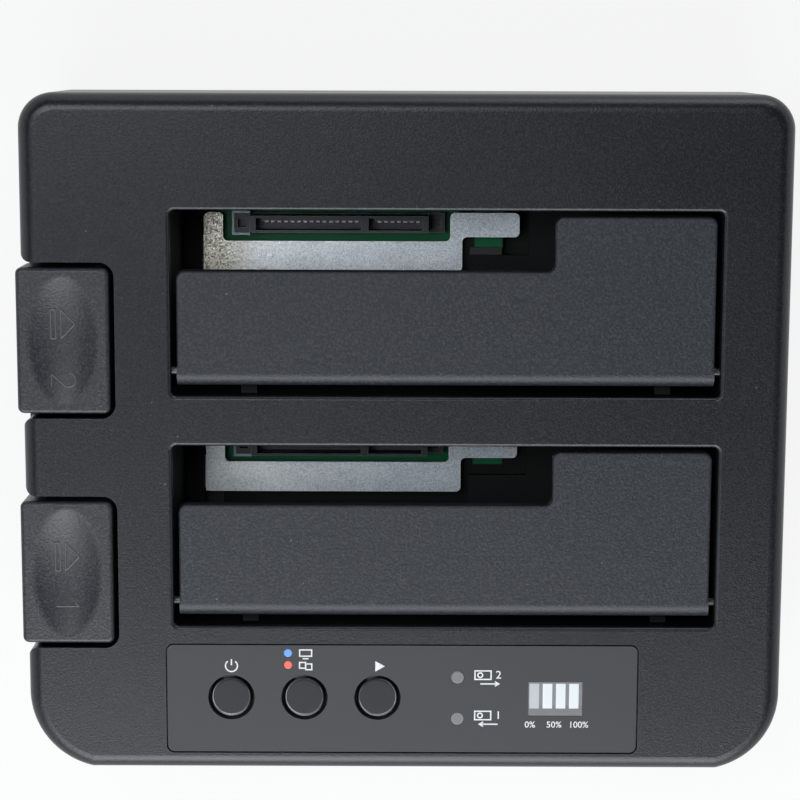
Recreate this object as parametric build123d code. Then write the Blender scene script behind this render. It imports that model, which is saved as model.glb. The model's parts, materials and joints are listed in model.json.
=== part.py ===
from build123d import *
import math
import os

os.makedirs("parts", exist_ok=True)

# A two-bay drive duplicator that stands on a desk. Sizes are in millimetres.
# X runs to the right, Y to the rear and Z up. Z = 0 is the table, and the origin is
# the middle of the footprint. The top face falls towards the front.

# Housing
left_rib = 10.5           # of the top face, between a key's notch and a bay
right_margin = 13.05      # from the bays to the right side
front_margin = 3.14       # from the front to the control panel
panel_gap = 3.49          # from the control panel to the front bay
rear_margin = 21.85       # from the rear bay to the rear
top_slope = 7.4           # degrees
rear_corner = 6.6         # plan radius of the rear corners
front_corner = 15.5       # plan radius of the front corners
front_trim = 0.4          # the flat front cuts the front arcs short by this
edge_round = 3.0          # round along the top edge
wall = 2.2
top_thickness = 2.4
case_inset = 0.5          # the case stands back from the cover all round
foot_height = 2.0
floor_thickness = 2.2
base_round = 1.5          # round along the bottom edge
lap_height = 1.6          # tongue of the case that stands inside the cover
lap_thickness = 0.9
lap_gap = 0.2
skin_gap = 0.3            # gap round a part that lies in an opening of the skin
fit_gap = 0.1             # between parts that lie loosely on each other
past = 1.0                # how far a cut runs past a face

# Drive bays. Depths are measured down from the top face at the middle of a bay.
bay_spacing = 9.6         # of the top face, between the bays
bay_width = 103.8         # clear, for a 101.6 mm drive
bay_depth = 35.4          # clear, for a 26.1 mm drive beside the open flap
bay_corner = 1.0
rim_round = 0.7
bay_wall = 1.6
bay_floor_below = 41.7
bay_floor_thickness = 1.8
well_front = 17.1         # front edge of the floor opening, from the bay's rear wall
well_step_front = 10.9    # the same, right of its step
well_step_gap = 1.6       # step of the opening, right of the lever's strip
well_margin = 2.0         # right end of the opening, past the lever's plate
hood_thickness = 0.8      # of the floor over the lever's arm
hood_gap = 0.4            # from there to the lever's plate

# Flap over the opening, with a free corner for the small drives
flap_gap_front = 1.5
flap_gap_rear = 1.2
flap_gap_side = 1.1
flap_sink = 0.6           # below the top face
flap_thickness = 2.2
small_width = 72.4        # clear width left open for a small drive
flap_corner = 1.6
flap_edge_round = 0.5
small_opening = 11.7      # clear depth left open for a small drive
barrel_radius = 2.8
pin_radius = 0.9
pin_clearance = 0.05
flap_rib_height = 1.4
flap_rib_thickness = 1.2
flap_rib_count = 5
flap_rib_inset = 2.5      # from the flap's edges
spring_window_inset = 23.9   # middle of the window in the barrel, from the bay's right wall
spring_window_width = 9.0
barrel_skin = 1.0         # left over the spring
flap_spring_wire = 0.4
flap_spring_turns = 5
flap_spring_pitch = 0.88
flap_leg = 7.0            # leg of the spring under the flap
flap_leg_drop = 0.4       # its end, below the pin's middle
front_leg_drop = 4.6      # end of the spring's other leg, below the pin
stop_insets = (14.5, 10.4)   # from the bay's left and right wall
stop_width = 3.0
stop_reach = 3.6          # radius of the closing stop on the barrel
stop_thickness = 1.4
stop_gap = 0.3
ledge_thickness = 1.8     # of the ledges that the stops rest on
stop_angle = 60.0         # degrees forward and down from the face's plane

# Eject keys
key_width = 17.55
key_proud = 0.9           # past the left side of the housing
key_length = 27.9
key_offset = -7.2         # from the middle of its bay, towards the front
key_skirt = 10.0
key_wall = 1.6
key_corner = 1.2
key_edge_round = 0.8
key_travel = 2.8
key_gap = 1.0
notch_corner = 2.8
notch_outer = 2.0         # radius of the cover's corners beside a key
notch_below = 0.8         # under the key's lowest place
dimple_end = 1.45         # of the key's top, past each end of its dimple
dimple_side = 2.3
dimple_depth = 1.5
dimple_rim = 3.0          # radius of the soft rim
stem_width = 6.0
stem_gap = 1.25           # from the stem to the spring round it
stem_web = 1.8
stem_clearance = 0.3
shelf_thickness = 2.5
shelf_drop = 1.5          # shelf under the lowest place of the key's skirt
shelf_margin = 3.0
shelf_rib_height = 13.0
foot_round = 1.5          # radius of the stem's foot
foot_gap = 0.15           # stem's foot to the lever, at rest
key_spring_wire = 0.9
key_spring_turns = 4
key_spring_gap = 0.5      # from the spring to the key's walls

# Eject levers, bent from galvanised sheet
sheet = 1.2
plate_gap = 0.5           # over the bay's floor
plate_inset = 4.1         # left end of the plate, from the bay's left wall
plate_side = 3.8          # of the plate, left of the notch for the socket
notch_left_gap = 2.3      # from the notch to the socket
notch_right_gap = 1.1
strip_web = 2.4           # of the strip, right of the notch
plate_arm = 11.4          # right arm of the plate, past the strip
plate_rear = 2.4          # from the bay's rear wall, as the next ones
notch_front = 8.1
strip_front = 14.1
right_arm_front = 7.2
plate_corner = 1.0
pivot_outside = 6.1       # pivot, left of the bay's left wall
pivot_under_plate = 1.0
arm_under_pivot = 3.85    # top of the arm, under the pivot
arm_width = 6.7
arm_past_key = 3.8        # end of the arm, past the middle of the key
shaft_radius = 1.25
shaft_clearance = 0.04
lug_thickness = 2.4
lug_radius = 3.0
ear_radius = 2.4
arm_clearance = 0.6       # round the arm, in the bay's wall
side_play = 0.6           # along the shaft, each side

# Drive sockets
socket_rear = 4.4         # middle of the socket, from the bay's rear wall
socket_height = 12.0
nose_end = 1.2            # of the nose, past its cavities
nose_thickness = 3.3
socket_base_height = 3.2
cavity_thickness = 1.9
cavity_margin = 0.5       # past the outer contacts
cavity_web = 1.5
cavity_depth = 7.0
key_leg = 1.3             # short leg of each cavity
nose_front_wall = 0.45
contact_pitch = 1.27
contact_width = 0.7
contact_thickness = 0.35
power_contacts = 15
signal_contacts = 7
guide_width = 3.2
guide_gap = 0.1           # from a guide to the nose
guide_height = 6.5
right_guide_height = 4.0
guide_depth = 4.0
guide_hole = 1.7
guide_hole_depth = 3.0
base_proud = 0.2          # base of a socket, past its nose
clip_proud = 0.3          # past the top of the guide
contact_sink = 0.8
clip_thickness = 0.4

# Boards
board_thickness = 1.6
board_rise = 4.7          # main board over the case's floor
board_gap = 1.5           # from a bay's floor down to the board
board_left = 7.4          # left end of the main board, from the bays' left wall
board_right = 1.9         # its right end, inside the bays' right wall
board_front = 18.9        # from the front
board_rear = 0.8          # from the rear wall
riser_left = 6.9          # from the bay's left wall
riser_margin = 0.2        # right of the header
riser_front = 17.5        # from the bay's rear wall
riser_rear = 0.5
riser_screw_insets = (5.0, 13.4)   # from the riser's left and right end
riser_screw_front = 4.0   # from the riser's front edge
board_screw_inset = 4.0
header_length = 6.4
header_depth = 4.4
header_height = 1.3
standoff_radius = 2.2
# each from the main board's middle and from its rear edge, then its side or radius, and its height
chips = [(11.2, 7.9, 7.0, 0.9), (30.0, 22.4, 10.0, 1.2), (30.0, 42.4, 8.0, 1.0)]
cans = [(13.2, 16.2, 2.8, 6.8), (20.4, 16.2, 2.8, 6.8), (-21.0, 16.2, 2.5, 3.9)]

# Control panel and its board. Places along X are from the panel's left end.
panel_overhang = 1.65     # left end of the panel, past the bays' left wall
panel_right = 10.75       # from the display to the right end
panel_length = 22.1       # along the slope
panel_corner = 1.5
panel_thickness = 1.5
panel_ledge = 0.8
button_x = 12.6
button_pitch = 14.1
button_along = 0.25       # from the middle of the panel, towards the rear
button_radius = 3.8
button_hole_radius = 4.5
button_proud = 0.35
button_flange_radius = 5.2
button_flange = 0.8
button_travel = 0.6
button_stem_radius = 1.5
button_edge = 0.35
light_x = 56.25
light_radius = 1.3
light_rear = 6.65         # from the panel's rear edge
light_front = 7.1         # from its front edge
mode_light_x = 23.55
mode_light_insets = (1.85, 4.25)   # from the panel's rear edge
mode_light_radius = 0.85
light_flange = 0.5        # a drive light is wider under the panel
lens_foot = 0.6
lens_gap = 0.05
lens_edge = 0.2
window_left = 69.95
window_width = 10.4
window_length = 6.8
window_y = 0.05
window_sink = 0.1
window_tail = 3.4         # of the display, under the panel
bar_inset = 0.2
bar_top_inset = 0.3
bar_count = 4
bar_width = 1.85
bar_pitch = 2.55
bar_length = 5.0
bar_depth = 0.5
control_board_below = 9.0
control_board_thickness = 1.2
control_board_end = 3.55  # inside the panel's ends
control_board_side = 1.55
control_screw_inset = 3.0
control_post = 7.0        # across each post that carries the control board
switch_size = 6.0
switch_height = 3.6
switch_bore = 1.6         # how far a button's stem stands in its switch
switch_clearance = 0.3
lamp_size = 1.4
lamp_height = 1.0

# Rear ports, with places along X from the main board's middle
port_recess = 0.6         # behind the rear face
usb_side = -24.0
usb_width = 12.0
usb_height = 11.0
usb_depth = 15.0
usb_shell = 0.5
usb_chamfer = 1.9
usb_tongue_width = 5.6
usb_tongue_height = 3.2
usb_tongue_rise = 2.6
esata_side = -2.75
esata_width = 15.0
esata_height = 6.0
esata_depth = 14.0
esata_rim = 1.1           # round the hole
esata_hole_depth = 9.0
esata_blade_width = 9.2
esata_blade = 1.2
jack_side = 23.25
jack_width = 9.2
jack_height = 11.0
jack_depth = 14.0
jack_bore = 3.2
jack_bore_depth = 10.0
jack_rise = 0.6           # bore above the middle of the jack
jack_round = 2.0
jack_pin = 1.0
port_gap = 0.4            # cut-out round each port
port_roof = 2.1           # of the case, over the tallest cut-out

# Screws, bosses, feet and vents
boss_radius = 3.6
case_boss_radius = 4.2
bay_boss_radius = 3.2
board_boss_radius = 3.0
pilot_extra = 0.5         # pilot hole past the end of its screw
case_screw_side = 9.6     # from the side faces
case_screw_end = 10.0     # from the front and the rear
case_screw_radius = 1.45
case_screw_head = 2.7
case_screw_length = 16.0
screw_clearance = 0.2
counterbore_top = 15.0
small_screw_radius = 1.1
small_screw_head = 2.0
small_screw_length = 6.0
pilot_gap = 0.04
head_height = 1.5
recess_width = 0.6        # cross in a screw's head
board_screw_head = 1.8
board_screw_length = 5.0
ear_depth = 8.0
ear_thickness = 2.0
ear_below = 5.0           # ear of a bay, under the underside of the cover
ear_inset = 6.7           # middle of an ear, from the bay's front or rear wall
ear_gap = 0.45            # outside an ear
foot_radius = 6.0
foot_seat = 0.6
foot_chamfer = 0.5
foot_side = 22.5          # middle of a foot, from the side faces
foot_end = 25.4           # from the front and the rear
vent_width = 2.4
vent_length = 26.0
vent_pitch = 6.0
vent_count = 9
vent_rows = 2
vent_row_pitch = 46.0

# Ribbon between the boards
ribbon_width = 12.0
ribbon_thickness = 0.9
ribbon_side = -4.75       # from the main board's middle
ribbon_board = 4.0        # its lower end, from the board's front edge
ribbon_socket_height = 3.0
ribbon_socket_depth = 4.0
ribbon_socket_margin = 1.5
ribbon_bend = 3.0

# Values that follow from the ones above
slope = math.radians(top_slope)
left_margin = key_width - key_proud + key_gap + left_rib
body_width = left_margin + bay_width + right_margin
body_x = key_proud / 2
left_x = body_x - body_width / 2
right_x = body_x + body_width / 2
bay_left_x = left_x + left_margin
bay_right_x = right_x - right_margin
bay_x = (bay_left_x + bay_right_x) / 2

bay_pitch = bay_depth + bay_spacing
panel_run = panel_length * math.cos(slope)
body_depth = front_margin + panel_run + panel_gap + bay_pitch + bay_depth + rear_margin
rear_y = body_depth / 2
rear_bay_y = rear_y - rear_margin - bay_depth / 2
panel_y = front_margin + panel_run / 2 - rear_y

plate_below = bay_floor_below - plate_gap - sheet   # each below the top face
pivot_below = plate_below + pivot_under_plate
board_below = bay_floor_below + bay_floor_thickness + board_gap
nose_below = board_below - socket_height
inner_floor = foot_height + floor_thickness
main_board_z = inner_floor + board_rise + board_thickness
mid_height = main_board_z + board_below + (bay_pitch - rear_bay_y) * math.tan(slope)
parting_height = main_board_z + max(usb_height, jack_height) + port_gap + port_roof

power_cavity = (power_contacts - 1) * contact_pitch + contact_width + key_leg + 2 * cavity_margin
signal_cavity = (signal_contacts - 1) * contact_pitch + contact_width + key_leg + 2 * cavity_margin
nose_width = power_cavity + cavity_web + signal_cavity + 2 * nose_end
socket_width = nose_width + 2 * (guide_gap + guide_width)
plate_left_x = bay_left_x + plate_inset
notch_left_x = plate_left_x + plate_side
socket_x = notch_left_x + notch_left_gap + socket_width / 2
notch_right_x = socket_x + socket_width / 2 + notch_right_gap
strip_right_x = notch_right_x + strip_web
plate_right_x = strip_right_x + plate_arm
well_left_x = plate_left_x - hood_gap
well_step_x = strip_right_x + well_step_gap
well_right_x = plate_right_x + well_margin
pivot_x = bay_left_x - pivot_outside
flap_step_x = bay_left_x + small_width
spring_window_x = bay_right_x - spring_window_inset

key_spring_radius = key_width / 2 - key_wall - key_spring_gap - key_spring_wire / 2
stem_depth = 2 * (key_spring_radius - key_spring_wire / 2 - stem_gap)
dimple_length = key_length - 2 * dimple_end
dimple_width = key_width - 2 * dimple_side

board_left_x = bay_left_x + board_left
board_right_x = bay_right_x - board_right
board_x = (board_left_x + board_right_x) / 2
board_front_y = board_front - rear_y
board_rear_y = rear_y - wall - board_rear
usb_x = board_x + usb_side
esata_x = board_x + esata_side
jack_x = board_x + jack_side
ribbon_x = board_x + ribbon_side
riser_left_x = bay_left_x + riser_left
riser_right_x = well_step_x + header_length + riser_margin
ribbon_low_y = board_front_y + ribbon_board
panel_width = window_left + window_width + panel_right
panel_left_x = bay_left_x - panel_overhang
panel_x = panel_left_x + panel_width / 2
control_board_width = panel_width - 2 * control_board_end
control_board_length = panel_length - 2 * control_board_side
LOW = (Align.CENTER, Align.CENTER, Align.MIN)
HIGH = (Align.CENTER, Align.CENTER, Align.MAX)


def face_z(y, below=0.0):
    return mid_height + y * math.tan(slope) - below


riser_z = face_z(rear_bay_y) - board_below


def from_rear(yc, distance):
    # a place in a bay, measured from its rear wall
    return yc + bay_depth / 2 - distance


def along(dy):
    # a horizontal distance, measured along the slope
    return dy / math.cos(slope)


def face_plane(y, below=0.0, x=0.0):
    return Plane(
        origin=(x, y, face_z(y)), x_dir=(1, 0, 0), z_dir=(0, -math.sin(slope), math.cos(slope))
    ).offset(-below)


def side_plane(x, y):
    # its own x runs up the slope and its own y is the face's normal
    return Plane(
        origin=(x, y, face_z(y)), x_dir=(0, math.cos(slope), math.sin(slope)), z_dir=(1, 0, 0)
    )


def panel_plane(below=0.0):
    # the top face at the middle of the control panel
    return face_plane(panel_y, below, panel_x)


def panel_place(x, y):
    # a place on the panel, from its left end and its middle
    return Pos(x - panel_width / 2, y, 0)


def block(x, y, z):
    # each argument is a pair of limits
    return Pos((x[0] + x[1]) / 2, (y[0] + y[1]) / 2, (z[0] + z[1]) / 2) * Box(
        x[1] - x[0], y[1] - y[0], z[1] - z[0]
    )


def under_face(shape, below):
    # what lies under the top face, lowered by a vertical distance
    above = Box(2 * body_width, 2 * body_depth, 2 * mid_height, align=LOW)
    return shape - face_plane(0, below * math.cos(slope)) * above


def outline(inset):
    front = -body_depth / 2 + inset
    plan = Pos(body_x, -front_trim / 2) * Rectangle(
        body_width - 2 * inset, body_depth - 2 * inset + front_trim
    )
    plan = fillet(plan.vertices().group_by(Axis.Y)[0], front_corner - inset)
    plan = fillet(plan.vertices().group_by(Axis.Y)[-1], rear_corner - inset)
    behind = Rectangle(2 * body_width, 2 * body_depth, align=(Align.CENTER, Align.MIN))
    return plan & Pos(body_x, front) * behind


def prism(plan, low, high):
    return extrude(Pos(0, 0, low) * plan, high - low)


def housing_block(inset, below, low):
    return under_face(prism(outline(inset), low, 2 * mid_height), below)


def rod_x(x0, x1, y, z, radius):
    return Pos(x0, y, z) * Rot(0, 90, 0) * Cylinder(radius, x1 - x0, align=LOW)


def rod_y(y0, y1, x, z, radius):
    return Pos(x, y0, z) * Rot(-90, 0, 0) * Cylinder(radius, y1 - y0, align=LOW)


def rod_z(z0, z1, x, y, radius):
    return Pos(x, y, z0) * Cylinder(radius, z1 - z0, align=LOW)


def coil(radius, length, turns, wire, points_per_turn=10, first=(), last=()):
    # a spring along Z from 0, drawn with short straight runs, with legs to the first and last points
    count = turns * points_per_turn
    path = Polyline(*first, *[
        (
            radius * math.cos(2 * math.pi * i / points_per_turn),
            radius * math.sin(2 * math.pi * i / points_per_turn),
            length * i / count,
        )
        for i in range(count + 1)
    ], *last)
    section = Plane(origin=path @ 0, z_dir=path % 0) * RegularPolygon(wire / 2, 6)
    return sweep(section, path=path, transition=Transition.RIGHT)


# Screw places that more than one piece shares

def case_screw_places():
    for x in (left_x + case_screw_side, right_x - case_screw_side):
        for y in (case_screw_end - rear_y, rear_y - case_screw_end):
            yield x, y


def foot_places():
    for x in (left_x + foot_side, right_x - foot_side):
        for y in (foot_end - rear_y, rear_y - foot_end):
            yield x, y


def ear_places(yc):
    # where a bay's wall is, which way its ear points, how much room is there, and the ear's middle
    offset = bay_depth / 2 - ear_inset
    for y in (yc - offset, yc + offset):
        yield bay_left_x - bay_wall, -1, left_rib - bay_wall, y
        yield bay_right_x + bay_wall, 1, right_margin - wall - bay_wall, y


def bay_screw_places(yc):
    for x, side, room, y in ear_places(yc):
        yield x + side * room / 2, y, face_z(y) - top_thickness - ear_below


def board_screw_places():
    for x in (board_left_x + board_screw_inset, board_right_x - board_screw_inset):
        for y in (board_front_y + board_screw_inset, board_rear_y - board_screw_inset):
            yield x, y


def riser_screw_places():
    first, last = riser_screw_insets
    for x in (riser_left_x + first, riser_right_x - last):
        yield x, from_rear(rear_bay_y, riser_front - riser_screw_front)


def control_screw_places():
    for x in (-1, 1):
        yield x * (control_board_width / 2 - control_screw_inset), 0   # from the panel's middle


def key_centre_y(yc):
    return yc + key_offset


def key_bottom(yc):
    return face_z(key_centre_y(yc) - key_length / 2) - key_skirt


def shelf_top(yc):
    return key_bottom(yc) - key_travel - shelf_drop


def key_x():
    return left_x - key_proud + key_width / 2


# Housing pieces

def make_cover():
    cover = housing_block(0, 0, parting_height)
    top = cover.faces().filter_by(lambda f: f.normal_at().Z > 0.9)[0]
    cover = fillet(top.edges(), edge_round)
    cover -= housing_block(wall, top_thickness, parting_height - past)
    recess = outline(wall - lap_thickness - lap_gap)
    cover -= prism(recess, parting_height - past, parting_height + lap_height + lap_gap)
    opening = fillet(Rectangle(bay_width, bay_depth).vertices(), bay_corner)
    for yc in bays:
        cover -= prism(Pos(bay_x, yc) * opening, parting_height, 2 * mid_height)
    top = cover.faces().filter_by(lambda f: f.normal_at().Z > 0.9).sort_by(SortBy.AREA)[-1]
    rims = [edge for wire in top.inner_wires() for edge in wire.edges()]
    cover = fillet(rims, rim_round)
    for yc in bays:
        notch_y = key_centre_y(yc)
        right = key_x() + key_width / 2 + key_gap
        plan = Rectangle(2 * key_width, key_length + 2 * key_gap)
        plan = Pos(right - key_width, notch_y) * fillet(plan.vertices().group_by(Axis.X)[-1], notch_corner)
        for side in (-1, 1):
            corner = notch_y + side * (key_length / 2 + key_gap)
            plan += Pos(left_x + notch_outer / 2, corner + side * notch_outer / 2) * Rectangle(
                notch_outer, notch_outer) - Pos(left_x + notch_outer, corner + side * notch_outer) * Circle(
                notch_outer)
        low = key_bottom(yc) - key_travel - notch_below
        cover -= prism(plan, low, 2 * mid_height)
        for x, y, z in bay_screw_places(yc):
            end = z + small_screw_length - ear_thickness + pilot_extra
            cover += rod_z(z, face_z(y) - top_thickness / 2, x, y, bay_boss_radius)
            cover -= rod_z(z - past, end, x, y, small_screw_radius + pilot_gap)
    for x, y in case_screw_places():
        cover += rod_z(parting_height, face_z(y) - top_thickness / 2, x, y, boss_radius)
        end = counterbore_top + case_screw_length + pilot_extra
        cover -= rod_z(parting_height - past, end, x, y, case_screw_radius + pilot_gap)
    pocket = fillet(Rectangle(panel_width, panel_length).vertices(), panel_corner)
    window = fillet(
        Rectangle(panel_width - 2 * panel_ledge, panel_length - 2 * panel_ledge).vertices(), panel_corner
    )
    plane = panel_plane()
    cover -= extrude(plane.offset(past) * pocket, -past - panel_thickness)
    cover -= extrude(plane.offset(past) * window, -past - 2 * top_thickness)
    # posts at the ends of the panel carry the control board
    for x, y in control_screw_places():
        side = 1 if x > 0 else -1
        top = panel_thickness + fit_gap
        post = panel_plane(top) * Pos(x + side * (control_post / 2 - small_screw_head / 4), y, 0)
        cover += post * Box(control_post, control_post, control_board_below - top, align=HIGH)
        hole = board_screw_length - control_board_thickness + pilot_extra
        cover -= panel_plane(control_board_below + past) * Pos(x, y, 0) * Cylinder(
            small_screw_radius + pilot_gap, hole + past, align=LOW)
    return cover


def make_case():
    case = prism(outline(case_inset), foot_height, parting_height)
    bottom = case.faces().sort_by(Axis.Z)[0]
    case = fillet(bottom.edges(), base_round)
    case -= prism(outline(wall), inner_floor, parting_height + past)
    tongue = outline(wall - lap_thickness) - outline(wall)
    case += prism(tongue, parting_height - past, parting_height + lap_height)
    middle = foot_height + floor_thickness / 2
    for x, y in case_screw_places():
        case += rod_z(middle, parting_height - fit_gap, x, y, case_boss_radius)
        case -= rod_z(0, counterbore_top, x, y, case_screw_head + skin_gap)
        case -= rod_z(0, parting_height, x, y, case_screw_radius + screw_clearance)
    for x, y in board_screw_places():
        case += rod_z(middle, main_board_z - board_thickness, x, y, board_boss_radius)
        case -= rod_z(inner_floor, main_board_z, x, y, small_screw_radius + pilot_gap)
    for x, y in foot_places():
        case -= rod_z(0, foot_height + foot_seat, x, y, foot_radius + fit_gap)
    slot = SlotOverall(vent_length, vent_width, rotation=90)
    for row in range(vent_rows):
        y = (row - (vent_rows - 1) / 2) * vent_row_pitch
        for i in range(vent_count):
            x = (i - (vent_count - 1) / 2) * vent_pitch
            case -= prism(Pos(x, y) * slot, 0, inner_floor + past)
    for x, width, height in port_cuts():
        half = width / 2 + port_gap
        case -= block((x - half, x + half), (rear_y - wall - past, rear_y + past),
                      (main_board_z - port_gap, main_board_z + height + port_gap))
    return case


def port_cuts():
    yield usb_x, usb_width, usb_height
    yield esata_x, esata_width, esata_height
    yield jack_x, jack_width, jack_height


def make_feet():
    feet = []
    for x, y in foot_places():
        foot = rod_z(0, foot_height + foot_seat, x, y, foot_radius)
        feet.append(chamfer(foot.edges().group_by(Axis.Z)[0], foot_chamfer))
    return feet


def screw(place, radius, length, head, downwards=True):
    # the underside of the head lies at the place, and the shank runs away from it
    shank = Cylinder(radius, length, align=HIGH)
    cap = Cylinder(head, head_height, align=LOW)
    cap = fillet(cap.edges().group_by(Axis.Z)[-1], head_height / 3)
    depth = 2 * recess_width
    cross = Box(head, recess_width, depth) + Box(recess_width, head, depth)
    whole = shank + cap - Pos(0, 0, head_height) * cross
    return place * (whole if downwards else Rot(180, 0, 0) * whole)


def make_case_screws():
    return [
        screw(Pos(x, y, counterbore_top), case_screw_radius, case_screw_length, case_screw_head, False)
        for x, y in case_screw_places()
    ]


def make_bay_screws():
    return [
        screw(Pos(x, y, z - ear_thickness), small_screw_radius, small_screw_length, small_screw_head, False)
        for yc in bays
        for x, y, z in bay_screw_places(yc)
    ]


# Drive bays and their flaps

def hinge_place(yc):
    # hinge line of a flap, as Y and Z
    u = along(-bay_depth / 2 + flap_gap_front) + barrel_radius
    point = side_plane(0, yc).from_local_coords((u, -flap_sink - barrel_radius))
    return point.Y, point.Z


def make_bay(yc):
    floor_top = face_z(yc) - bay_floor_below
    floor_low = floor_top - bay_floor_thickness
    opening = fillet(Rectangle(bay_width, bay_depth).vertices(), bay_corner)
    shell = fillet(
        Rectangle(bay_width + 2 * bay_wall, bay_depth + 2 * bay_wall).vertices(), bay_corner + bay_wall
    )
    bay = prism(Pos(bay_x, yc) * shell, floor_low, 2 * mid_height)
    bay -= prism(Pos(bay_x, yc) * opening, floor_top, 2 * mid_height)
    bay = under_face(bay, top_thickness)
    front, rear = yc - bay_depth / 2, yc + bay_depth / 2
    well = block((well_left_x, well_step_x), (from_rear(yc, well_front), rear), (0, floor_top + past))
    well += block((well_step_x - past, well_right_x), (from_rear(yc, well_step_front), rear),
                  (0, floor_top + past))
    bay -= well
    # the lever's arm passes out to the left, under a hood that the floor leaves over it
    arm_front = from_rear(yc, strip_front)
    bay -= block((bay_left_x - bay_wall - past, well_left_x + past),
                 (arm_front - arm_clearance, arm_front + arm_width + arm_clearance),
                 (0, floor_top - hood_thickness))
    for x, side, room, y in ear_places(yc):
        z = face_z(y) - top_thickness - ear_below
        reach = (x - side * bay_wall / 2, x + side * (room - ear_gap))
        bay += block((min(reach), max(reach)), (y - ear_depth / 2, y + ear_depth / 2),
                     (z - ear_thickness, z))
    for x, y, z in bay_screw_places(yc):
        bay -= rod_z(z - ear_thickness - past, z + past, x, y, small_screw_radius + screw_clearance)
    # bearings of the lever's shaft
    pivot_z = face_z(yc) - pivot_below
    for y in lug_places(yc):
        lug = rod_y(y, y + lug_thickness, pivot_x, pivot_z, lug_radius)
        lug += block((pivot_x, bay_left_x - bay_wall / 2), (y, y + lug_thickness),
                     (pivot_z - lug_radius, pivot_z + lug_radius))
        bay += lug
        bay -= rod_y(y - past, y + lug_thickness + past, pivot_x, pivot_z, shaft_radius + shaft_clearance)
    # shelf that guides the key's stem and carries its spring
    key_y, top = key_centre_y(yc), shelf_top(yc)
    half = stem_depth / 2 + shelf_margin
    shelf = block((left_x + wall + skin_gap, bay_left_x - bay_wall / 2),
                  (key_y - half, key_y + half), (top - shelf_thickness, top))
    for y in (key_y - half, key_y + half - bay_wall):
        outer, middle = key_x() + stem_width / 2, top - shelf_thickness / 2
        rib = make_face(Plane.XZ * Polyline(
            (outer, middle), (bay_left_x - bay_wall / 2, middle),
            (bay_left_x - bay_wall / 2, middle - shelf_rib_height), close=True))
        shelf += Pos(0, y, 0) * extrude(rib, bay_wall, dir=(0, 1, 0))
    bay += shelf
    bay -= block((key_x() - stem_width / 2 - stem_clearance, key_x() + stem_width / 2 + stem_clearance),
                 (key_y - stem_depth / 2 - stem_clearance, key_y + stem_depth / 2 + stem_clearance),
                 (top - shelf_thickness - past, top + past))
    # hinge pin holes and the ledges under the closing stops
    hinge_y, hinge_z = hinge_place(yc)
    stop_z = hinge_z - stop_reach * math.sin(math.radians(stop_angle) + slope) - stop_gap
    bay -= rod_x(bay_left_x - bay_wall - past, bay_right_x + bay_wall + past, hinge_y, hinge_z,
                 pin_radius + pin_clearance)
    for x in stop_places():
        bay += block((x - stop_width / 2, x + stop_width / 2),
                     (front - bay_wall / 2, hinge_y - stop_thickness), (stop_z - ledge_thickness, stop_z))
    return bay


def lug_places(yc):
    middle = from_rear(yc, strip_front) + arm_width / 2
    yield middle - arm_width / 2 - side_play - lug_thickness
    yield middle + arm_width / 2 + side_play


def stop_places():
    first, last = stop_insets
    yield bay_left_x + first
    yield bay_right_x - last


def make_flap(yc):
    left = bay_left_x + flap_gap_side
    right = bay_right_x - flap_gap_side
    hinge = along(-bay_depth / 2 + flap_gap_front) + barrel_radius
    near = along(bay_depth / 2 - small_opening)
    far = along(bay_depth / 2 - flap_gap_rear)
    plan = Polyline(
        (left, hinge), (right, hinge), (right, far), (flap_step_x, far), (flap_step_x, near), (left, near),
        close=True,
    )
    plan = make_face(plan)
    plan = fillet(plan.vertices().filter_by(lambda v: v.Y > hinge + past), flap_corner)
    plate = extrude(plan, -flap_thickness)
    top = plate.faces().sort_by(Axis.Z)[-1]
    plate = fillet(top.edges().sort_by(Axis.Y)[1:], flap_edge_round)
    axis_n = -barrel_radius
    flap = plate + rod_x(left, right, hinge, axis_n, barrel_radius)
    # stiffening ribs underneath
    low, high = -flap_thickness - flap_rib_height, -flap_thickness / 2
    inset, thick = flap_rib_inset, flap_rib_thickness
    flap += block((left + inset, right - inset), (near - inset - thick, near - inset), (low, high))
    flap += block((flap_step_x + inset, right - inset), (far - inset - thick, far - inset), (low, high))
    span = right - left - 4 * inset
    for i in range(flap_rib_count):
        x = left + 2 * inset + i * span / (flap_rib_count - 1)
        end = (near if x < flap_step_x + inset else far) - inset - thick / 2
        flap += block((x - thick / 2, x + thick / 2), (hinge + thick, end), (low, high))
    flap -= rod_x(left - past, right + past, hinge, axis_n, pin_radius + pin_clearance)
    window = (spring_window_x - spring_window_width / 2, spring_window_x + spring_window_width / 2)
    flap -= block(window, (hinge - barrel_radius + barrel_skin, hinge + barrel_radius),
                  (-2 * barrel_radius - past, -barrel_skin))
    # closing stops, fins that reach down and forward from the barrel
    for x in stop_places():
        root = pin_radius + past
        fin = Box(stop_width - past, stop_reach - root, stop_thickness)
        flap += Pos(x, hinge, axis_n) * Rot(stop_angle, 0, 0) * Pos(0, -(stop_reach + root) / 2, 0) * fin
    return face_plane(yc, flap_sink) * flap


def make_flap_pin(yc):
    y, z = hinge_place(yc)
    return rod_x(bay_left_x - bay_wall, bay_right_x + bay_wall, y, z, pin_radius)


def make_flap_spring(yc):
    # torsion spring round the pin, with one leg on the front wall and one under the flap
    y, z = hinge_place(yc)
    radius = pin_radius + pin_clearance + flap_spring_wire
    length = flap_spring_turns * flap_spring_pitch
    front_leg = flap_gap_front + barrel_radius - flap_spring_wire / 2 - fit_gap
    spring = coil(
        radius, length, flap_spring_turns, flap_spring_wire, 8,
        first=[(front_leg_drop, -front_leg, 0)], last=[(flap_leg_drop, flap_leg, length)])
    # the coil's Z runs along the pin and its X points down
    return Pos(spring_window_x - length / 2, y, z) * Rot(0, 90, 0) * spring


# Eject keys and levers

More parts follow.
